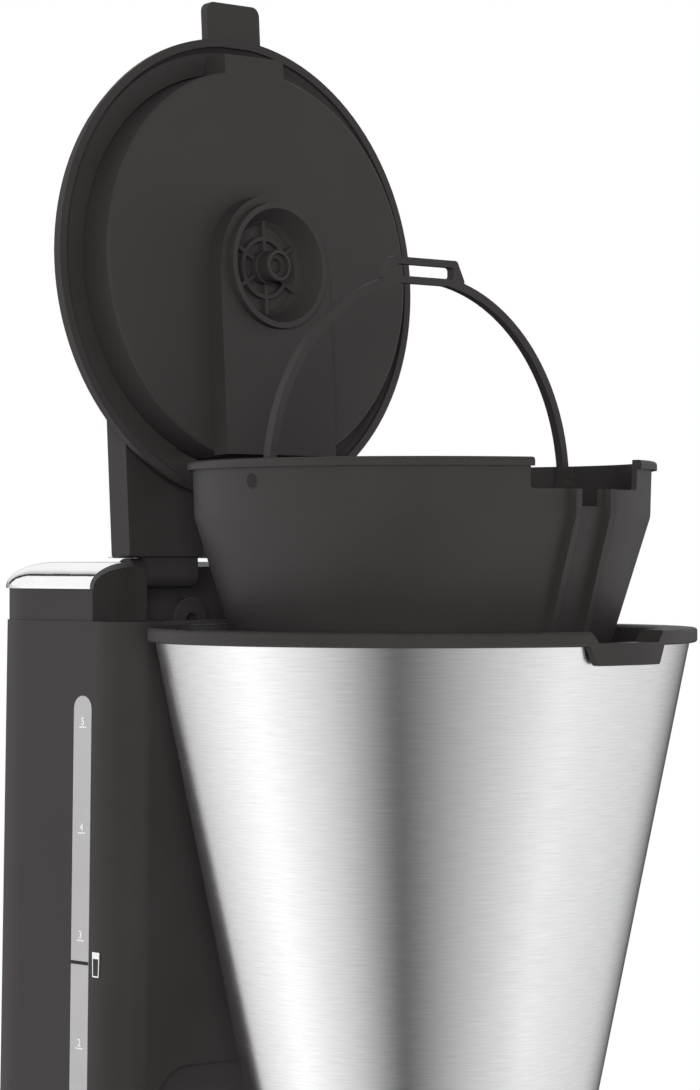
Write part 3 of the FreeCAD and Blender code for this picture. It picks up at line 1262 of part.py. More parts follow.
def make_jug_neck():
    inside = JUG_MOUTH + EASE
    collar = ring(JUG_NECK_RADIUS + WALL, inside, JUG_NECK_BOTTOM, JUG_NECK_TOP)
    reach = JUG_NECK_RADIUS + JUG_SPOUT_REACH
    spout = slab([(-JUG_SPOUT_HALF_WIDTH * 2, 0, 0), (JUG_SPOUT_HALF_WIDTH * 2, 0, 0),
                  (JUG_SPOUT_HALF_WIDTH, reach, JUG_SPOUT_CORNER),
                  (-JUG_SPOUT_HALF_WIDTH, reach, JUG_SPOUT_CORNER)],
                 JUG_NECK_BOTTOM + WALL, JUG_NECK_TOP)
    spout = spout.cut(disc(inside, JUG_NECK_BOTTOM, JUG_NECK_TOP))
    channel = slab([(-JUG_SPOUT_HALF_WIDTH, 0, 0), (JUG_SPOUT_HALF_WIDTH, 0, 0),
                    (JUG_SPOUT_HALF_WIDTH / 2, reach, 0), (-JUG_SPOUT_HALF_WIDTH / 2, reach, 0)],
                   JUG_NECK_TOP - WALL, JUG_NECK_TOP)
    return joined(collar, spout).cut(channel.cut(disc(JUG_NECK_RADIUS + WALL, JUG_NECK_BOTTOM, JUG_NECK_TOP)))


def make_jug_handle():
    inner = HANDLE_REACH - HANDLE_THICKNESS
    high = JUG_NECK_TOP
    joint = JUG_NECK_RADIUS + WALL
    outer_line = [(0, high, 0), (-HANDLE_REACH, high, HANDLE_CORNER),
                  (-HANDLE_REACH, HANDLE_BEND, HANDLE_BEND_RADIUS),
                  (-HANDLE_REACH + HANDLE_LEAN, HANDLE_LOW, HANDLE_CORNER / 2),
                  (-inner + HANDLE_LEAN + HANDLE_THICKNESS / 2, HANDLE_LOW, HANDLE_CORNER / 8)]
    inner_line = [(-inner, high - HANDLE_THICKNESS, HANDLE_CORNER - HANDLE_THICKNESS / 2),
                  (0, high - HANDLE_THICKNESS, 0)]
    handle = bar_x(outer_line + inner_line, -HANDLE_HALF_WIDTH, HANDLE_HALF_WIDTH)
    handle = handle.cut(disc(joint + EASE, HANDLE_LOW - WALL, high + WALL))
    long_edges = [edge for edge in handle.Edges
                  if edge.BoundBox.XLength < SEAT and edge.BoundBox.YMax < -joint - SEAT]
    return handle.makeFillet(HANDLE_EDGE, long_edges)


def make_jug_lid():
    plug = PLUG_RADIUS
    low = JUG_NECK_BOTTOM + WALL
    deck = JUG_NECK_TOP + EASE
    top = JUG_LID_TOP
    rim = JUG_NECK_RADIUS
    body = turned([(JUG_LID_HOLE, low, 0), (plug, low, PLUG_EDGE), (plug, deck, 0), (rim, deck, 0),
                   (rim, top, JUG_LID_EDGE),
                   (JUG_LID_FUNNEL, top, 0), (JUG_LID_HOLE, low + 2 * WALL, 0)])
    half = LEVER_HALF_WIDTH + EASE
    bay = slab(box_corners(-half, half, -JUG_NECK_RADIUS - WALL, LEVER_PIVOT_Y + LEVER_THICKNESS + EASE),
               top - LEVER_THICKNESS - LEVER_SWING, top)
    groove = ring(plug, plug - WALL, low + WALL, low + 2 * WALL)
    pin = rod(Vector(-2 * half, LEVER_PIVOT_Y, top - LEVER_THICKNESS / 2),
              Vector(2 * half, LEVER_PIVOT_Y, top - LEVER_THICKNESS / 2), LEVER_PIN)
    return body.cut([bay, groove, pin])


def make_jug_lid_seal():
    low = JUG_NECK_BOTTOM + 2 * WALL
    return ring(JUG_MOUTH - JUG_STEEL - EASE, PLUG_RADIUS - WALL, low, low + WALL)


def make_jug_lever():
    top = JUG_LID_TOP
    low = top - LEVER_THICKNESS
    rear = LEVER_PIVOT_Y + LEVER_THICKNESS
    tip = LEVER_PIVOT_Y - LEVER_LENGTH
    lever = bar_x(box_corners(tip, rear, low, top, LEVER_EDGE), -LEVER_HALF_WIDTH, LEVER_HALF_WIDTH)
    pivot = low + LEVER_THICKNESS / 2
    return lever.cut(rod(Vector(-LEVER_HALF_WIDTH, LEVER_PIVOT_Y, pivot),
                         Vector(LEVER_HALF_WIDTH, LEVER_PIVOT_Y, pivot),
                         LEVER_PIN + RUNNING))


def make_jug_lever_pin():
    half = 2 * (LEVER_HALF_WIDTH + EASE)
    pivot = JUG_LID_TOP - LEVER_THICKNESS / 2
    return rod(Vector(-half, LEVER_PIVOT_Y, pivot), Vector(half, LEVER_PIVOT_Y, pivot), LEVER_PIN)


# Every piece, by name

PIECES = {
    "base_housing": make_base_housing,
    "base_plate": make_base_plate,
    "rubber_feet": make_rubber_feet,
    "base_screws": make_base_screws,
    "jug_plate": make_jug_plate,
    "heater": make_heater,
    "inlet_hose": make_inlet_hose,
    "check_valve": make_check_valve,
    "riser_pipe": make_riser_pipe,
    "thermostat": make_thermostat,
    "thermal_fuse": make_thermal_fuse,
    "power_button": make_power_button,
    "switch_body": make_switch_body,
    "cord_gland": make_cord_gland,
    "tower_shell": make_tower_shell,
    "gauge_window": make_gauge_window,
    "water_tank": make_water_tank,
    "tower_top_band": make_tower_top_band,
    "top_cap": make_top_cap,
    "hinge_pins": make_hinge_pins,
    "water_nozzle": make_water_nozzle,
    "nozzle_seal": make_nozzle_seal,
    "steel_cone": make_steel_cone,
    "cone_collar": make_cone_collar,
    "cone_carrier": make_cone_carrier,
    "bracket_screws": make_bracket_screws,
    "cone_bottom": make_cone_bottom,
    "lid_shell": make_lid_shell,
    "lid_trim": make_lid_trim,
    "lid_insert": make_lid_insert,
    "spray_head": make_spray_head,
    "filter_basket": make_filter_basket,
    "bail_handle": make_bail_handle,
    "drip_valve": make_drip_valve,
    "valve_seal": make_valve_seal,
    "valve_spring": make_valve_spring,
    "jug_shell": make_jug_shell,
    "jug_liner": make_jug_liner,
    "jug_base": make_jug_base,
    "jug_neck": make_jug_neck,
    "jug_handle": make_jug_handle,
    "jug_lid": make_jug_lid,
    "jug_lid_seal": make_jug_lid_seal,
    "jug_lever": make_jug_lever,
    "jug_lever_pin": make_jug_lever_pin,
}

os.makedirs("parts", exist_ok=True)
for name, make in PIECES.items():
    shape = make()
    shape.translate(Vector(0, -ORIGIN_Y, 0))
    shape.exportStep("parts/" + name + ".step")
    print(name, len(shape.Solids), "solids", round(shape.Volume), "mm3",
          "valid" if shape.isValid() else "NOT VALID")
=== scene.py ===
import json
import math

import bpy
from mathutils import Matrix, Vector


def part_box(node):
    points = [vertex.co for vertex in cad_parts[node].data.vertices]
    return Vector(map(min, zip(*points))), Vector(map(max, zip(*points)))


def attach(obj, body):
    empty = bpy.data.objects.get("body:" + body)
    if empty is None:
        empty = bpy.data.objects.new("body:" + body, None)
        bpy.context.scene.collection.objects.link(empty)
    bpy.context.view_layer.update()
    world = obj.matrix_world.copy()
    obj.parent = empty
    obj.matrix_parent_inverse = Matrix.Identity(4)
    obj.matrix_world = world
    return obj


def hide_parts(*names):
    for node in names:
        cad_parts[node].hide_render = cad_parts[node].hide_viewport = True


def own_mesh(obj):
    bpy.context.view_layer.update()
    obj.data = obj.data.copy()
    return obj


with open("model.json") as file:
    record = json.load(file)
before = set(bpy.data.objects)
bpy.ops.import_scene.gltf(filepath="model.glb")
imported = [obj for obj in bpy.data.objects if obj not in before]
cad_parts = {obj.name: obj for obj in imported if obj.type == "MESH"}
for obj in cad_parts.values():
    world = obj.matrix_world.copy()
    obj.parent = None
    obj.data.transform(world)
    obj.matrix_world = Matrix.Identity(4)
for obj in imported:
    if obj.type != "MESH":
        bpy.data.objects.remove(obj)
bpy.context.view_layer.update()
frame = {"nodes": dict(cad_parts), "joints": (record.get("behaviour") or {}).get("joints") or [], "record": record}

# Looks of the drip coffee maker: metres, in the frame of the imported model, front towards -Y.

NODES = frame["nodes"]


def joint_limit(name, kind):
    """How far a joint goes from rest, in degrees or metres."""
    return next(joint[kind][1] for joint in frame["joints"] if joint["name"] == name)


# Places that the details hang on, read from the frame
COLLAR_LOW, COLLAR_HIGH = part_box("cone_collar")
BREW_Y = (COLLAR_LOW.y + COLLAR_HIGH.y) / 2
GAUGE_LOW, GAUGE_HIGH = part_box("gauge_window")
GAUGE_Y = (GAUGE_LOW.y + GAUGE_HIGH.y) / 2
SPRAY_LOW, SPRAY_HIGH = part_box("spray_head")
SPRAY_MIDDLE = (SPRAY_LOW + SPRAY_HIGH) / 2
BAIL_LOW, BAIL_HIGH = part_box("bail_handle")
LID_TURN = math.radians(joint_limit("lid_hinge", "range_deg"))
LID_FACING = Matrix.Rotation(-LID_TURN, 3, "X") @ Vector((0, 0, -1))

# Camera, fitted to the photograph in the 700 x 1090 frame
VIEW_ANGLE = math.radians(43.4)
VIEW_DISTANCE = 0.900
VIEW_ASIDE = 0.01838
VIEW_HEIGHT = 0.31135
VIEW_LENS = 116.42
VIEW_SENSOR = 36
VIEW_SHIFT = 12 / 1090
AHEAD = Vector((math.sin(VIEW_ANGLE), math.cos(VIEW_ANGLE), 0))
SIDE = Vector((math.cos(VIEW_ANGLE), -math.sin(VIEW_ANGLE), 0))

# Light levels of the room round the compass, from behind through the left, the camera and the right,
# below the horizon and above it, and the heights between which one passes into the other
LOW_LEVELS = [(0.04, 0.03), (0.12, 0.64), (0.27, 1.24), (0.38, 0.70), (0.464, 0.09), (0.55, 0.48),
              (0.68, 1.00), (0.86, 0.70), (0.96, 0.03)]
HIGH_LEVELS = [(0.050, 0.95), (0.086, 0.50), (0.094, 0.04), (0.116, 0.04), (0.122, 1.00), (0.24, 1.00),
               (0.34, 0.30), (0.70, 0.30), (0.90, 0.60)]
HORIZON = (0.04, 0.14)
# The colour sockets of a mix node, which share their names with others
MIX_FIRST, MIX_SECOND, MIX_RESULT = 6, 7, 2

# Lamps: both point at the middle of the cone
LAMP_AIM = Vector((0, BREW_Y, 0.30))
FILL_PLACE = Vector((0, BREW_Y, 0.55)) - AHEAD * 2.2
FILL_SIZE = 0.6
FILL_POWER = 37
SIDE_PLACE = Vector((1.6, BREW_Y, 0.50))
SIDE_SIZE = 0.8
SIDE_POWER = 13

# Floor
FLOOR_REACH = 0.85
FLOOR_STEPS = 96

# Gauge print
CUP_MARKS = {5: 0.2670, 4: 0.2393, 3: 0.2112, 2: 0.1830, 1: 0.1548}
FIGURE_HEIGHT = 0.0020
FIGURE_GAP = 0.0004
FIGURE_WEIGHT = 0.00005
FONT_SIZE = 1.4 * FIGURE_HEIGHT
PRINT_Y = GAUGE_Y - 0.0003
UNDERLINE = 0.0030
PRINT_LINE = 0.00034
PRINT_LIFT = 0.00008
FIGURE_THICKNESS = PRINT_LIFT / 4
FILL_MARK = 0.2052
MARK_LINE = 0.0009
SIGN_WIDTH = 0.0030
SIGN_BACK = GAUGE_LOW.y - 0.0016
SIGN_FRONT = SIGN_BACK - SIGN_WIDTH
SIGN_TAPER = 0.00025
SIGN_LOW = 0.2019
SIGN_HIGH = 0.2084
SIGN_FILLED = 0.2067
SIGN_EDGE = PRINT_LINE / SIGN_WIDTH

# Turned details; the tube and the plate are placed along the spray head's axis from its middle
TURNED_STEPS = 64
TURNED_SHARP = math.radians(35)
TUBE_RADIUS = 0.0042
TUBE_BORE = 0.0033
TUBE_JET = 0.0020
TUBE_EDGE = 0.0003
TUBE_BACK = -0.0010
TUBE_MOUTH = 0.0034
TUBE_STEP = 0.0018
TUBE_FLOOR = 0.0004
PLATE_RADIUS = 0.0118
PLATE_BACK = -0.0050
PLATE_FACE = -0.0039
PIN_RADIUS = 0.0017
PIN_PROUD = 0.00015
PIN_RISE = 0.0020

# Texture of the materials
NOISE_SPAN = (0.25, 0.75)
TINT_SPAN = (0.3, 0.7)
CLOUD_SCALE, CLOUD_DETAIL = 38.0, 3.0
CLOUD_SMOOTHER, CLOUD_ROUGHER = 0.04, 0.05
GRAIN_DETAIL = 2.0
GRAIN_STRENGTH = 0.35
MOULDED_GLOSS = 0.2
BRUSH_AROUND, BRUSH_ALONG, BRUSH_DETAIL = 7.0, 3600.0, 4.0
BRUSH_STRENGTH, BRUSH_RELIEF = 0.02, 0.00001
STREAK_AROUND, STREAK_ALONG, STREAK_DETAIL = 2.0, 420.0, 2.0
STREAK_ROUGHNESS = 0.02
BRUSH_STRETCH, BRUSH_STRETCH_TURN = 0.75, 0.25
SWIRL_SCALE, SWIRL_DETAIL = 160.0, 4.0
SWIRL_SMOOTHER, SWIRL_ROUGHER = 0.7, 1.4
POLISH_SCALE, POLISH_DETAIL = 1800.0, 2.0
POLISH_STRENGTH, POLISH_RELIEF = 0.05, 0.00002
CHROME_TINTS = ((0.90, 0.90, 0.91), (0.96, 0.96, 0.96))
CHROME_ROUGHNESS = 0.06
EDGE_FACING = -0.8
EDGE_ROUGHNESS = 0.55


# Materials

def blank_material(name):
    """A material with only its Principled shader and output: material, nodes, links and shader."""
    material = bpy.data.materials.new(name)
    material.use_nodes = True
    nodes = material.node_tree.nodes
    shader = nodes["Principled BSDF"]
    return material, nodes, material.node_tree.links, shader


def add_noise(nodes, links, scale, detail, vector=None):
    """Noise in object space, or along a given vector."""
    noise = nodes.new("ShaderNodeTexNoise")
    noise.inputs["Scale"].default_value = scale
    noise.inputs["Detail"].default_value = detail
    if vector is None:
        place = nodes.new("ShaderNodeTexCoord")
        vector = place.outputs["Object"]
    links.new(vector, noise.inputs["Vector"])
    return noise.outputs["Fac"]


def add_range(nodes, links, source, low, high):
    """Spreads a noise value between two values."""
    spread = nodes.new("ShaderNodeMapRange")
    spread.inputs["From Min"].default_value = NOISE_SPAN[0]
    spread.inputs["From Max"].default_value = NOISE_SPAN[1]
    spread.inputs["To Min"].default_value = low
    spread.inputs["To Max"].default_value = high
    links.new(source, spread.inputs["Value"])
    return spread.outputs["Result"]


def add_tint(nodes, links, source, dark, light):
    """Colour between two tints, led by a noise value."""
    ramp = nodes.new("ShaderNodeValToRGB")
    for element, position, tint in zip(ramp.color_ramp.elements, TINT_SPAN, (dark, light)):
        element.position = position
        element.color = (*tint, 1)
    links.new(source, ramp.inputs["Fac"])
    return ramp.outputs["Color"]


def add_bump(nodes, links, source, shader, strength, distance):
    """Relief from a height value."""
    bump = nodes.new("ShaderNodeBump")
    bump.inputs["Strength"].default_value = strength
    bump.inputs["Distance"].default_value = distance
    links.new(source, bump.inputs["Height"])
    links.new(bump.outputs["Normal"], shader.inputs["Normal"])


def add_math(nodes, links, operation, first, second):
    """A math node on an output and a second output or number."""
    node = nodes.new("ShaderNodeMath")
    node.operation = operation
    links.new(first, node.inputs[0])
    if isinstance(second, float):
        node.inputs[1].default_value = second
    else:
        links.new(second, node.inputs[1])
    return node.outputs[0]


def moulded(name, dark, light, rough, grain=2600.0, relief=0.00003):
    """Moulded plastic or rubber: fine spark-eroded grain, faint flow clouds and uneven gloss."""
    material, nodes, links, shader = blank_material(name)
    clouds = add_noise(nodes, links, CLOUD_SCALE, CLOUD_DETAIL)
    fine = add_noise(nodes, links, grain, GRAIN_DETAIL)
    uneven = add_range(nodes, links, clouds, rough - CLOUD_SMOOTHER, rough + CLOUD_ROUGHER)
    links.new(add_tint(nodes, links, clouds, dark, light), shader.inputs["Base Color"])
    links.new(uneven, shader.inputs["Roughness"])
    add_bump(nodes, links, fine, shader, GRAIN_STRENGTH, relief)
    shader.inputs["Specular IOR Level"].default_value = MOULDED_GLOSS
    return material


def ring_vector(nodes, links, around, along):
    """Coordinates about the brew axis: angle times one scale, height times another."""
    place = nodes.new("ShaderNodeTexCoord")
    split = nodes.new("ShaderNodeSeparateXYZ")
    links.new(place.outputs["Object"], split.inputs["Vector"])
    depth = add_math(nodes, links, "SUBTRACT", split.outputs["Y"], BREW_Y)
    angle = add_math(nodes, links, "ARCTAN2", depth, split.outputs["X"])
    joined = nodes.new("ShaderNodeCombineXYZ")
    links.new(add_math(nodes, links, "MULTIPLY", angle, around), joined.inputs["X"])
    links.new(add_math(nodes, links, "MULTIPLY", split.outputs["Z"], along), joined.inputs["Z"])
    return joined.outputs["Vector"]


def brushed(name, dark, light, rough):
    """Steel brushed round the brew axis: long scratches, lighter and darker, with a fine relief."""
    material, nodes, links, shader = blank_material(name)
    line_place = ring_vector(nodes, links, BRUSH_AROUND, BRUSH_ALONG)
    streak_place = ring_vector(nodes, links, STREAK_AROUND, STREAK_ALONG)
    lines = add_noise(nodes, links, 1.0, BRUSH_DETAIL, line_place)
    streaks = add_noise(nodes, links, 1.0, STREAK_DETAIL, streak_place)
    uneven = add_range(nodes, links, streaks, rough - STREAK_ROUGHNESS, rough + STREAK_ROUGHNESS)
    links.new(add_tint(nodes, links, lines, dark, light), shader.inputs["Base Color"])
    links.new(uneven, shader.inputs["Roughness"])
    add_bump(nodes, links, lines, shader, BRUSH_STRENGTH, BRUSH_RELIEF)
    tangent = nodes.new("ShaderNodeTangent")
    tangent.direction_type = "RADIAL"
    tangent.axis = "Z"
    links.new(tangent.outputs["Tangent"], shader.inputs["Tangent"])
    shader.inputs["Metallic"].default_value = 1.0
    shader.inputs["Anisotropic"].default_value = BRUSH_STRETCH
    shader.inputs["Anisotropic Rotation"].default_value = BRUSH_STRETCH_TURN
    return material


def add_satin_edge(nodes, links, rough):
    """A roughness value that is raised where a face looks to the front."""
    place = nodes.new("ShaderNodeTexCoord")
    split = nodes.new("ShaderNodeSeparateXYZ")
    links.new(place.outputs["Normal"], split.inputs["Vector"])
    front = add_math(nodes, links, "LESS_THAN", split.outputs["Y"], EDGE_FACING)
    extra = add_math(nodes, links, "MULTIPLY", front, EDGE_ROUGHNESS)
    return add_math(nodes, links, "ADD", rough, extra)


def polished(name, dark, light, rough, satin_edge=False):
    """Plated or bare metal with faint swirls in its gloss, if wanted with its front edge left satin."""
    material, nodes, links, shader = blank_material(name)
    swirl = add_noise(nodes, links, SWIRL_SCALE, SWIRL_DETAIL)
    fine = add_noise(nodes, links, POLISH_SCALE, POLISH_DETAIL)
    uneven = add_range(nodes, links, swirl, rough * SWIRL_SMOOTHER, rough * SWIRL_ROUGHER)
    if satin_edge:
        uneven = add_satin_edge(nodes, links, uneven)
    links.new(add_tint(nodes, links, swirl, dark, light), shader.inputs["Base Color"])
    links.new(uneven, shader.inputs["Roughness"])
    add_bump(nodes, links, fine, shader, POLISH_STRENGTH, POLISH_RELIEF)
    shader.inputs["Metallic"].default_value = 1.0
    return material


BLACK = moulded("satin_black", (0.033, 0.029, 0.029), (0.038, 0.034, 0.034), 0.42)
INNER_BLACK = moulded("inner_black", (0.036, 0.0325, 0.032), (0.040, 0.0362, 0.0355), 0.50)
RUBBER = moulded("soft_black", (0.020, 0.020, 0.020), (0.028, 0.027, 0.027), 0.72, 1500.0, 0.00006)
TANK = moulded("tank_grey", (0.16, 0.16, 0.17), (0.20, 0.20, 0.21), 0.38)
FROST = moulded("gauge_frost", (0.42, 0.42, 0.42), (0.46, 0.46, 0.46), 0.40, 3200.0, 0.00002)
STEEL = brushed("brushed_steel", (0.81, 0.81, 0.81), (0.92, 0.925, 0.93), 0.26)
CHROME = polished("bright_chrome", *CHROME_TINTS, CHROME_ROUGHNESS)
CAP_CHROME = polished("cap_chrome", *CHROME_TINTS, CHROME_ROUGHNESS, satin_edge=True)
ZINC = polished("zinc_steel", (0.52, 0.52, 0.52), (0.62, 0.62, 0.61), 0.30)
ALLOY = polished("bare_alloy", (0.62, 0.62, 0.63), (0.72, 0.72, 0.72), 0.36)
WHITE_PRINT = moulded("white_print", (0.80, 0.80, 0.80), (0.88, 0.88, 0.88), 0.45, 4000.0, 0.00001)
BLACK_PRINT = moulded("black_print", (0.012, 0.012, 0.012), (0.018, 0.018, 0.018), 0.45, 4000.0, 0.00001)
FLOOR = moulded("pale_floor", (0.88, 0.88, 0.88), (0.90, 0.90, 0.90), 0.6, 400.0, 0.00002)

FINISHES = {
    "black_plastic": BLACK,
    "chrome": CHROME,
    "brushed_steel": STEEL,
    "clear_gauge": FROST,
    "tank_plastic": TANK,
    "rubber": RUBBER,
    "aluminium": ALLOY,
    "fastener_steel": ZINC,
}
NODE_FINISHES = {
    "lid_insert": INNER_BLACK,
    "spray_head": INNER_BLACK,
    "drip_valve": INNER_BLACK,
    "top_cap": CAP_CHROME,
}

for part in frame["record"]["subparts"]:
    finish = NODE_FINISHES.get(part["node"], FINISHES[part["material_slot"]])
    for place in NODES[part["node"]].material_slots:
        place.material = finish


def add_piece(name, mesh, material, body):
    """A mesh that belongs to the object: shown, painted and riding on a body."""
    mesh.materials.clear()
    mesh.materials.append(material)
    piece = bpy.data.objects.new(name, mesh)
    bpy.context.scene.collection.objects.link(piece)
    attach(piece, body)
    return piece


# Print on the gauge and on the tower's left side

def gauge_lean():
    """How far the gauge's outer face leans in from its bottom to its top."""
    points = [vertex.co for vertex in NODES["gauge_window"].data.vertices]
    middle = (GAUGE_LOW.z + GAUGE_HIGH.z) / 2
    top = min(point.x for point in points if point.z > middle)
    bottom = min(point.x for point in points)
    return top - bottom


GAUGE_LEAN = gauge_lean()


def side_x(height):
    """X of the gauge's outer face at a height."""
    share = (height - GAUGE_LOW.z) / (GAUGE_HIGH.z - GAUGE_LOW.z)
    return GAUGE_LOW.x + GAUGE_LEAN * share


def print_patch(name, outlines, material):
    """Flat print on the left side from outlines of (y, z) points."""
    points = []
    faces = []
    for outline in outlines:
        start = len(points)
        points += [(side_x(z) - PRINT_LIFT, y, z) for y, z in outline]
        faces.append(tuple(range(start, len(points))))
    mesh = bpy.data.meshes.new(name)
    mesh.from_pydata(points, [], faces)
    mesh.update()
    return add_piece(name, mesh, material, "housing")


def bar(y_low, y_high, z_low, z_high):
    """Outline of a rectangle on the side."""
    return [(y_high, z_low), (y_low, z_low), (y_low, z_high), (y_high, z_high)]


def sign_band(z_low, z_high, back_share, front_share):
    """Outline of a piece of the sign, between two heights and two shares of its tapered width."""
    outline = []
    for z, shares in ((z_low, (back_share, front_share)), (z_high, (front_share, back_share))):
        inset = SIGN_TAPER * (SIGN_HIGH - z) / (SIGN_HIGH - SIGN_LOW)
        back, front = SIGN_BACK - inset, SIGN_FRONT + inset
        outline += [(back + (front - back) * share, z) for share in shares]
    return outline


def cup_figure(cup, z):
    """A printed number, centred on the print line with its foot at z, read from the left."""
    name = f"cup_figure_{cup}"
    curve = bpy.data.curves.new(name, "FONT")
    curve.body = str(cup)
    curve.size = FONT_SIZE
    curve.align_x = "CENTER"
    curve.extrude = FIGURE_THICKNESS
    curve.offset = FIGURE_WEIGHT
    text = bpy.data.objects.new(name + "_outline", curve)
    mesh = bpy.data.meshes.new_from_object(text)
    bpy.data.objects.remove(text)
    x = side_x(z) - PRINT_LIFT
    mesh.transform(Matrix(((0, 0, -1, x), (-1, 0, 0, PRINT_Y), (0, 1, 0, z), (0, 0, 0, 1))))
    mesh.name = name
    return add_piece(name, mesh, WHITE_PRINT, "housing")


for cup, height in CUP_MARKS.items():
    cup_figure(cup, height + FIGURE_GAP)
    line = bar(PRINT_Y - UNDERLINE / 2, PRINT_Y + UNDERLINE / 2, height - PRINT_LINE, height)
    print_patch(f"cup_line_{cup}", [line], WHITE_PRINT)

# Fill mark: a dark line across the gauge, and beside it the sign of a tapered vessel filled at its top
print_patch("fill_line", [
    bar(GAUGE_LOW.y, GAUGE_HIGH.y, FILL_MARK - MARK_LINE / 2, FILL_MARK + MARK_LINE / 2)], BLACK_PRINT)
print_patch("vessel_sign", [
    sign_band(SIGN_FILLED, SIGN_HIGH, 0, 1),
    sign_band(SIGN_LOW, SIGN_FILLED, 0, SIGN_EDGE),
    sign_band(SIGN_LOW, SIGN_FILLED, 1 - SIGN_EDGE, 1),
    sign_band(SIGN_LOW, SIGN_LOW + PRINT_LINE, SIGN_EDGE, 1 - SIGN_EDGE)], WHITE_PRINT)


# Turned details: the tube in the spray grid, the plate behind it, and the ends of the bail's pins

def turned_piece(name, profile, origin, axis, material, body):
    """A closed solid turned about an axis, from (radius, distance along) points that begin and end on it."""
    across = axis.orthogonal().normalized()
    beside = axis.cross(across)
    points = []
    rings = []
    for radius, along in profile:
        count = TURNED_STEPS if radius > 0 else 1
        rings.append(range(len(points), len(points) + count))
        for index in range(count):
            angle = 2 * math.pi * index / TURNED_STEPS
            reach = across * math.cos(angle) + beside * math.sin(angle)
            points.append(origin + axis * along + reach * radius)
    faces = []
    for near, far in zip(rings, rings[1:]):
        for index in range(TURNED_STEPS):
            after = index + 1
            corners = [near[index % len(near)], near[after % len(near)],
                       far[after % len(far)], far[index % len(far)]]
            faces.append(tuple(dict.fromkeys(corners)))
    mesh = bpy.data.meshes.new(name)
    mesh.from_pydata(points, [], faces)
    mesh.shade_smooth()
    mesh.set_sharp_from_angle(angle=TURNED_SHARP)
    return add_piece(name, mesh, material, body)


TUBE_PROFILE = [
    (0, TUBE_BACK), (TUBE_RADIUS, TUBE_BACK), (TUBE_RADIUS, TUBE_MOUTH - TUBE_EDGE),
    (TUBE_RADIUS - TUBE_EDGE, TUBE_MOUTH), (TUBE_BORE, TUBE_MOUTH), (TUBE_BORE, TUBE_STEP),
    (TUBE_JET, TUBE_STEP), (TUBE_JET, TUBE_FLOOR), (0, TUBE_FLOOR)]
PLATE_PROFILE = [(0, PLATE_BACK), (PLATE_RADIUS, PLATE_BACK), (PLATE_RADIUS, PLATE_FACE), (0, PLATE_FACE)]
PIN_PROFILE = [(0, -PIN_PROUD), (PIN_RADIUS, -PIN_PROUD), (PIN_RADIUS, 0),
               (PIN_RADIUS - PIN_PROUD, PIN_PROUD), (0, PIN_PROUD)]
turned_piece("spray_tube", TUBE_PROFILE, SPRAY_MIDDLE, LID_FACING, INNER_BLACK, "lid")
turned_piece("spray_plate", PLATE_PROFILE, SPRAY_MIDDLE, LID_FACING, INNER_BLACK, "lid")
# The pin ends are real, but their darker soft black is painted shade, standing in for the dark hollow round each
# pivot
for end, end_x, way in (("left", BAIL_LOW.x, -1), ("right", BAIL_HIGH.x, 1)):
    pin_end = Vector((end_x, BREW_Y, BAIL_LOW.z + PIN_RISE))
    turned_piece(f"bail_pin_{end}", PIN_PROFILE, pin_end, Vector((way, 0, 0)), RUBBER, "bail")

# The valve's spring is shown as a copy with its own mesh, riding on the basket, in place of the original
spring = add_piece("pressed_spring", NODES["valve_spring"].data.copy(), ZINC, "basket")
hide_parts("valve_spring")
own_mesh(spring)


# Stage: pale floor, room, camera and lamps

def make_floor():
    """A round pale floor under the feet, left out of reflections."""
    turns = [2 * math.pi * index / FLOOR_STEPS for index in range(FLOOR_STEPS)]
    rim = [(FLOOR_REACH * math.cos(turn), FLOOR_REACH * math.sin(turn), 0) for turn in turns]
    mesh = bpy.data.meshes.new("floor")
    mesh.from_pydata(rim, [], [tuple(range(FLOOR_STEPS))])
    mesh.materials.append(FLOOR)
    floor = bpy.data.objects.new("floor", mesh)
    bpy.context.scene.collection.objects.link(floor)
    floor.visible_glossy = False


def level_ramp(nodes, links, source, stops):
    """A grey ramp with a level at each position."""
    ramp = nodes.new("ShaderNodeValToRGB")
    elements = ramp.color_ramp.elements
    while len(elements) < len(stops):
        elements.new(0.5)
    for element, (position, level) in zip(elements, stops):
        element.position = position
        element.color = (level, level, level, 1)
    links.new(source, ramp.inputs["Fac"])
    return ramp.outputs["Color"]


def span_share(nodes, links, source, low, high):
    """Where a value lies between two values, from 0 to 1."""
    share = nodes.new("ShaderNodeMapRange")
    share.inputs["From Min"].default_value = low
    share.inputs["From Max"].default_value = high
    links.new(source, share.inputs["Value"])
    return share.outputs["Result"]


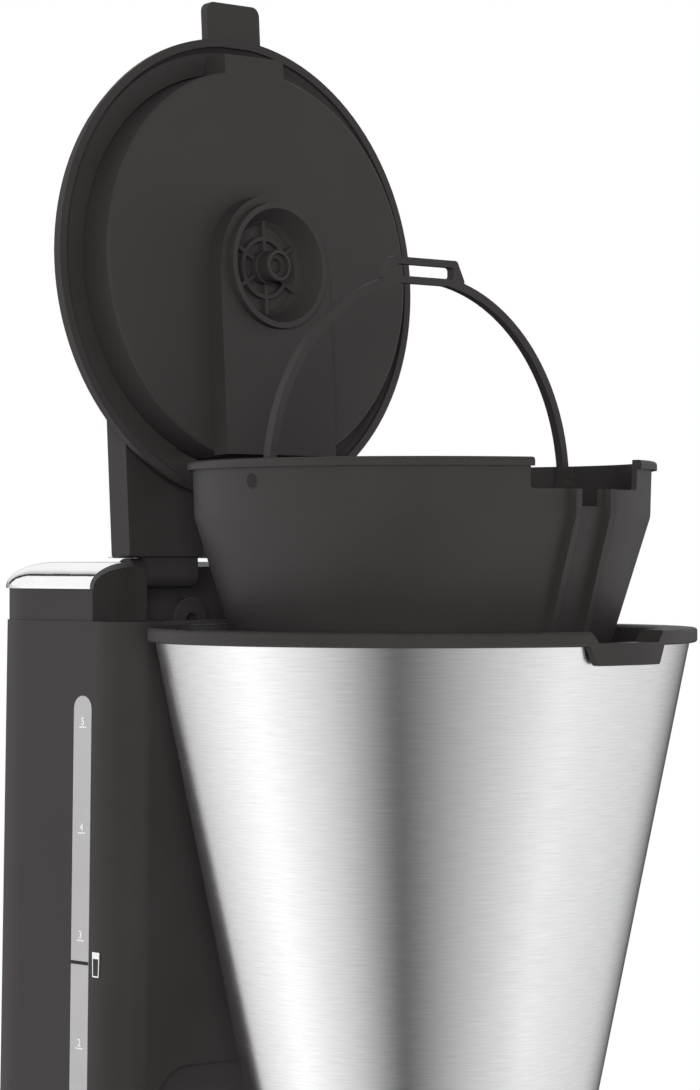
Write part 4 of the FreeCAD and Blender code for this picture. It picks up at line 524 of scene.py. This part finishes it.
def make_world():
    """White to the camera; to light and reflections a room of bright and dark bands round the compass."""
    world = bpy.data.worlds.new("studio")
    bpy.context.scene.world = world
    world.use_nodes = True
    nodes = world.node_tree.nodes
    links = world.node_tree.links
    nodes.clear()
    place = nodes.new("ShaderNodeTexCoord")
    spin = nodes.new("ShaderNodeVectorRotate")
    spin.rotation_type = "Z_AXIS"
    spin.inputs["Angle"].default_value = math.pi / 2 + VIEW_ANGLE
    links.new(place.outputs["Generated"], spin.inputs["Vector"])
    split = nodes.new("ShaderNodeSeparateXYZ")
    links.new(spin.outputs["Vector"], split.inputs["Vector"])
    angle = add_math(nodes, links, "ARCTAN2", split.outputs["Y"], split.outputs["X"])
    compass = span_share(nodes, links, angle, -math.pi, math.pi)
    rise = span_share(nodes, links, split.outputs["Z"], *HORIZON)
    mix = nodes.new("ShaderNodeMix")
    mix.data_type = "RGBA"
    links.new(rise, mix.inputs["Factor"])
    links.new(level_ramp(nodes, links, compass, LOW_LEVELS), mix.inputs[MIX_FIRST])
    links.new(level_ramp(nodes, links, compass, HIGH_LEVELS), mix.inputs[MIX_SECOND])
    room = nodes.new("ShaderNodeBackground")
    links.new(mix.outputs[MIX_RESULT], room.inputs["Color"])
    white = nodes.new("ShaderNodeBackground")
    white.inputs["Color"].default_value = (1, 1, 1, 1)
    path = nodes.new("ShaderNodeLightPath")
    blend = nodes.new("ShaderNodeMixShader")
    links.new(path.outputs["Is Camera Ray"], blend.inputs["Fac"])
    links.new(room.outputs["Background"], blend.inputs[1])
    links.new(white.outputs["Background"], blend.inputs[2])
    output = nodes.new("ShaderNodeOutputWorld")
    links.new(blend.outputs["Shader"], output.inputs["Surface"])


def soft_box(name, place, size, power):
    """A square area light that points at the cone and is left out of reflections."""
    light = bpy.data.lights.new(name, "AREA")
    light.shape = "RECTANGLE"
    light.size = size
    light.size_y = size
    light.energy = power
    lamp = bpy.data.objects.new(name, light)
    bpy.context.scene.collection.objects.link(lamp)
    lamp.location = place
    lamp.rotation_euler = (LAMP_AIM - place).to_track_quat("-Z", "Y").to_euler()
    lamp.visible_glossy = False


def make_camera():
    """Level camera at the photograph's angle."""
    camera = bpy.data.cameras.new("camera")
    camera.lens = VIEW_LENS
    camera.sensor_width = VIEW_SENSOR
    camera.shift_y = VIEW_SHIFT
    eye = bpy.data.objects.new("camera", camera)
    bpy.context.scene.collection.objects.link(eye)
    eye.location = Vector((0, BREW_Y, VIEW_HEIGHT)) - AHEAD * VIEW_DISTANCE - SIDE * VIEW_ASIDE
    eye.rotation_euler = (math.pi / 2, 0, -VIEW_ANGLE)
    bpy.context.scene.camera = eye


make_floor()
make_world()
make_camera()
soft_box("fill_box", FILL_PLACE, FILL_SIZE, FILL_POWER)
soft_box("side_box", SIDE_PLACE, SIDE_SIZE, SIDE_POWER)
bpy.context.scene.view_settings.view_transform = "Standard"
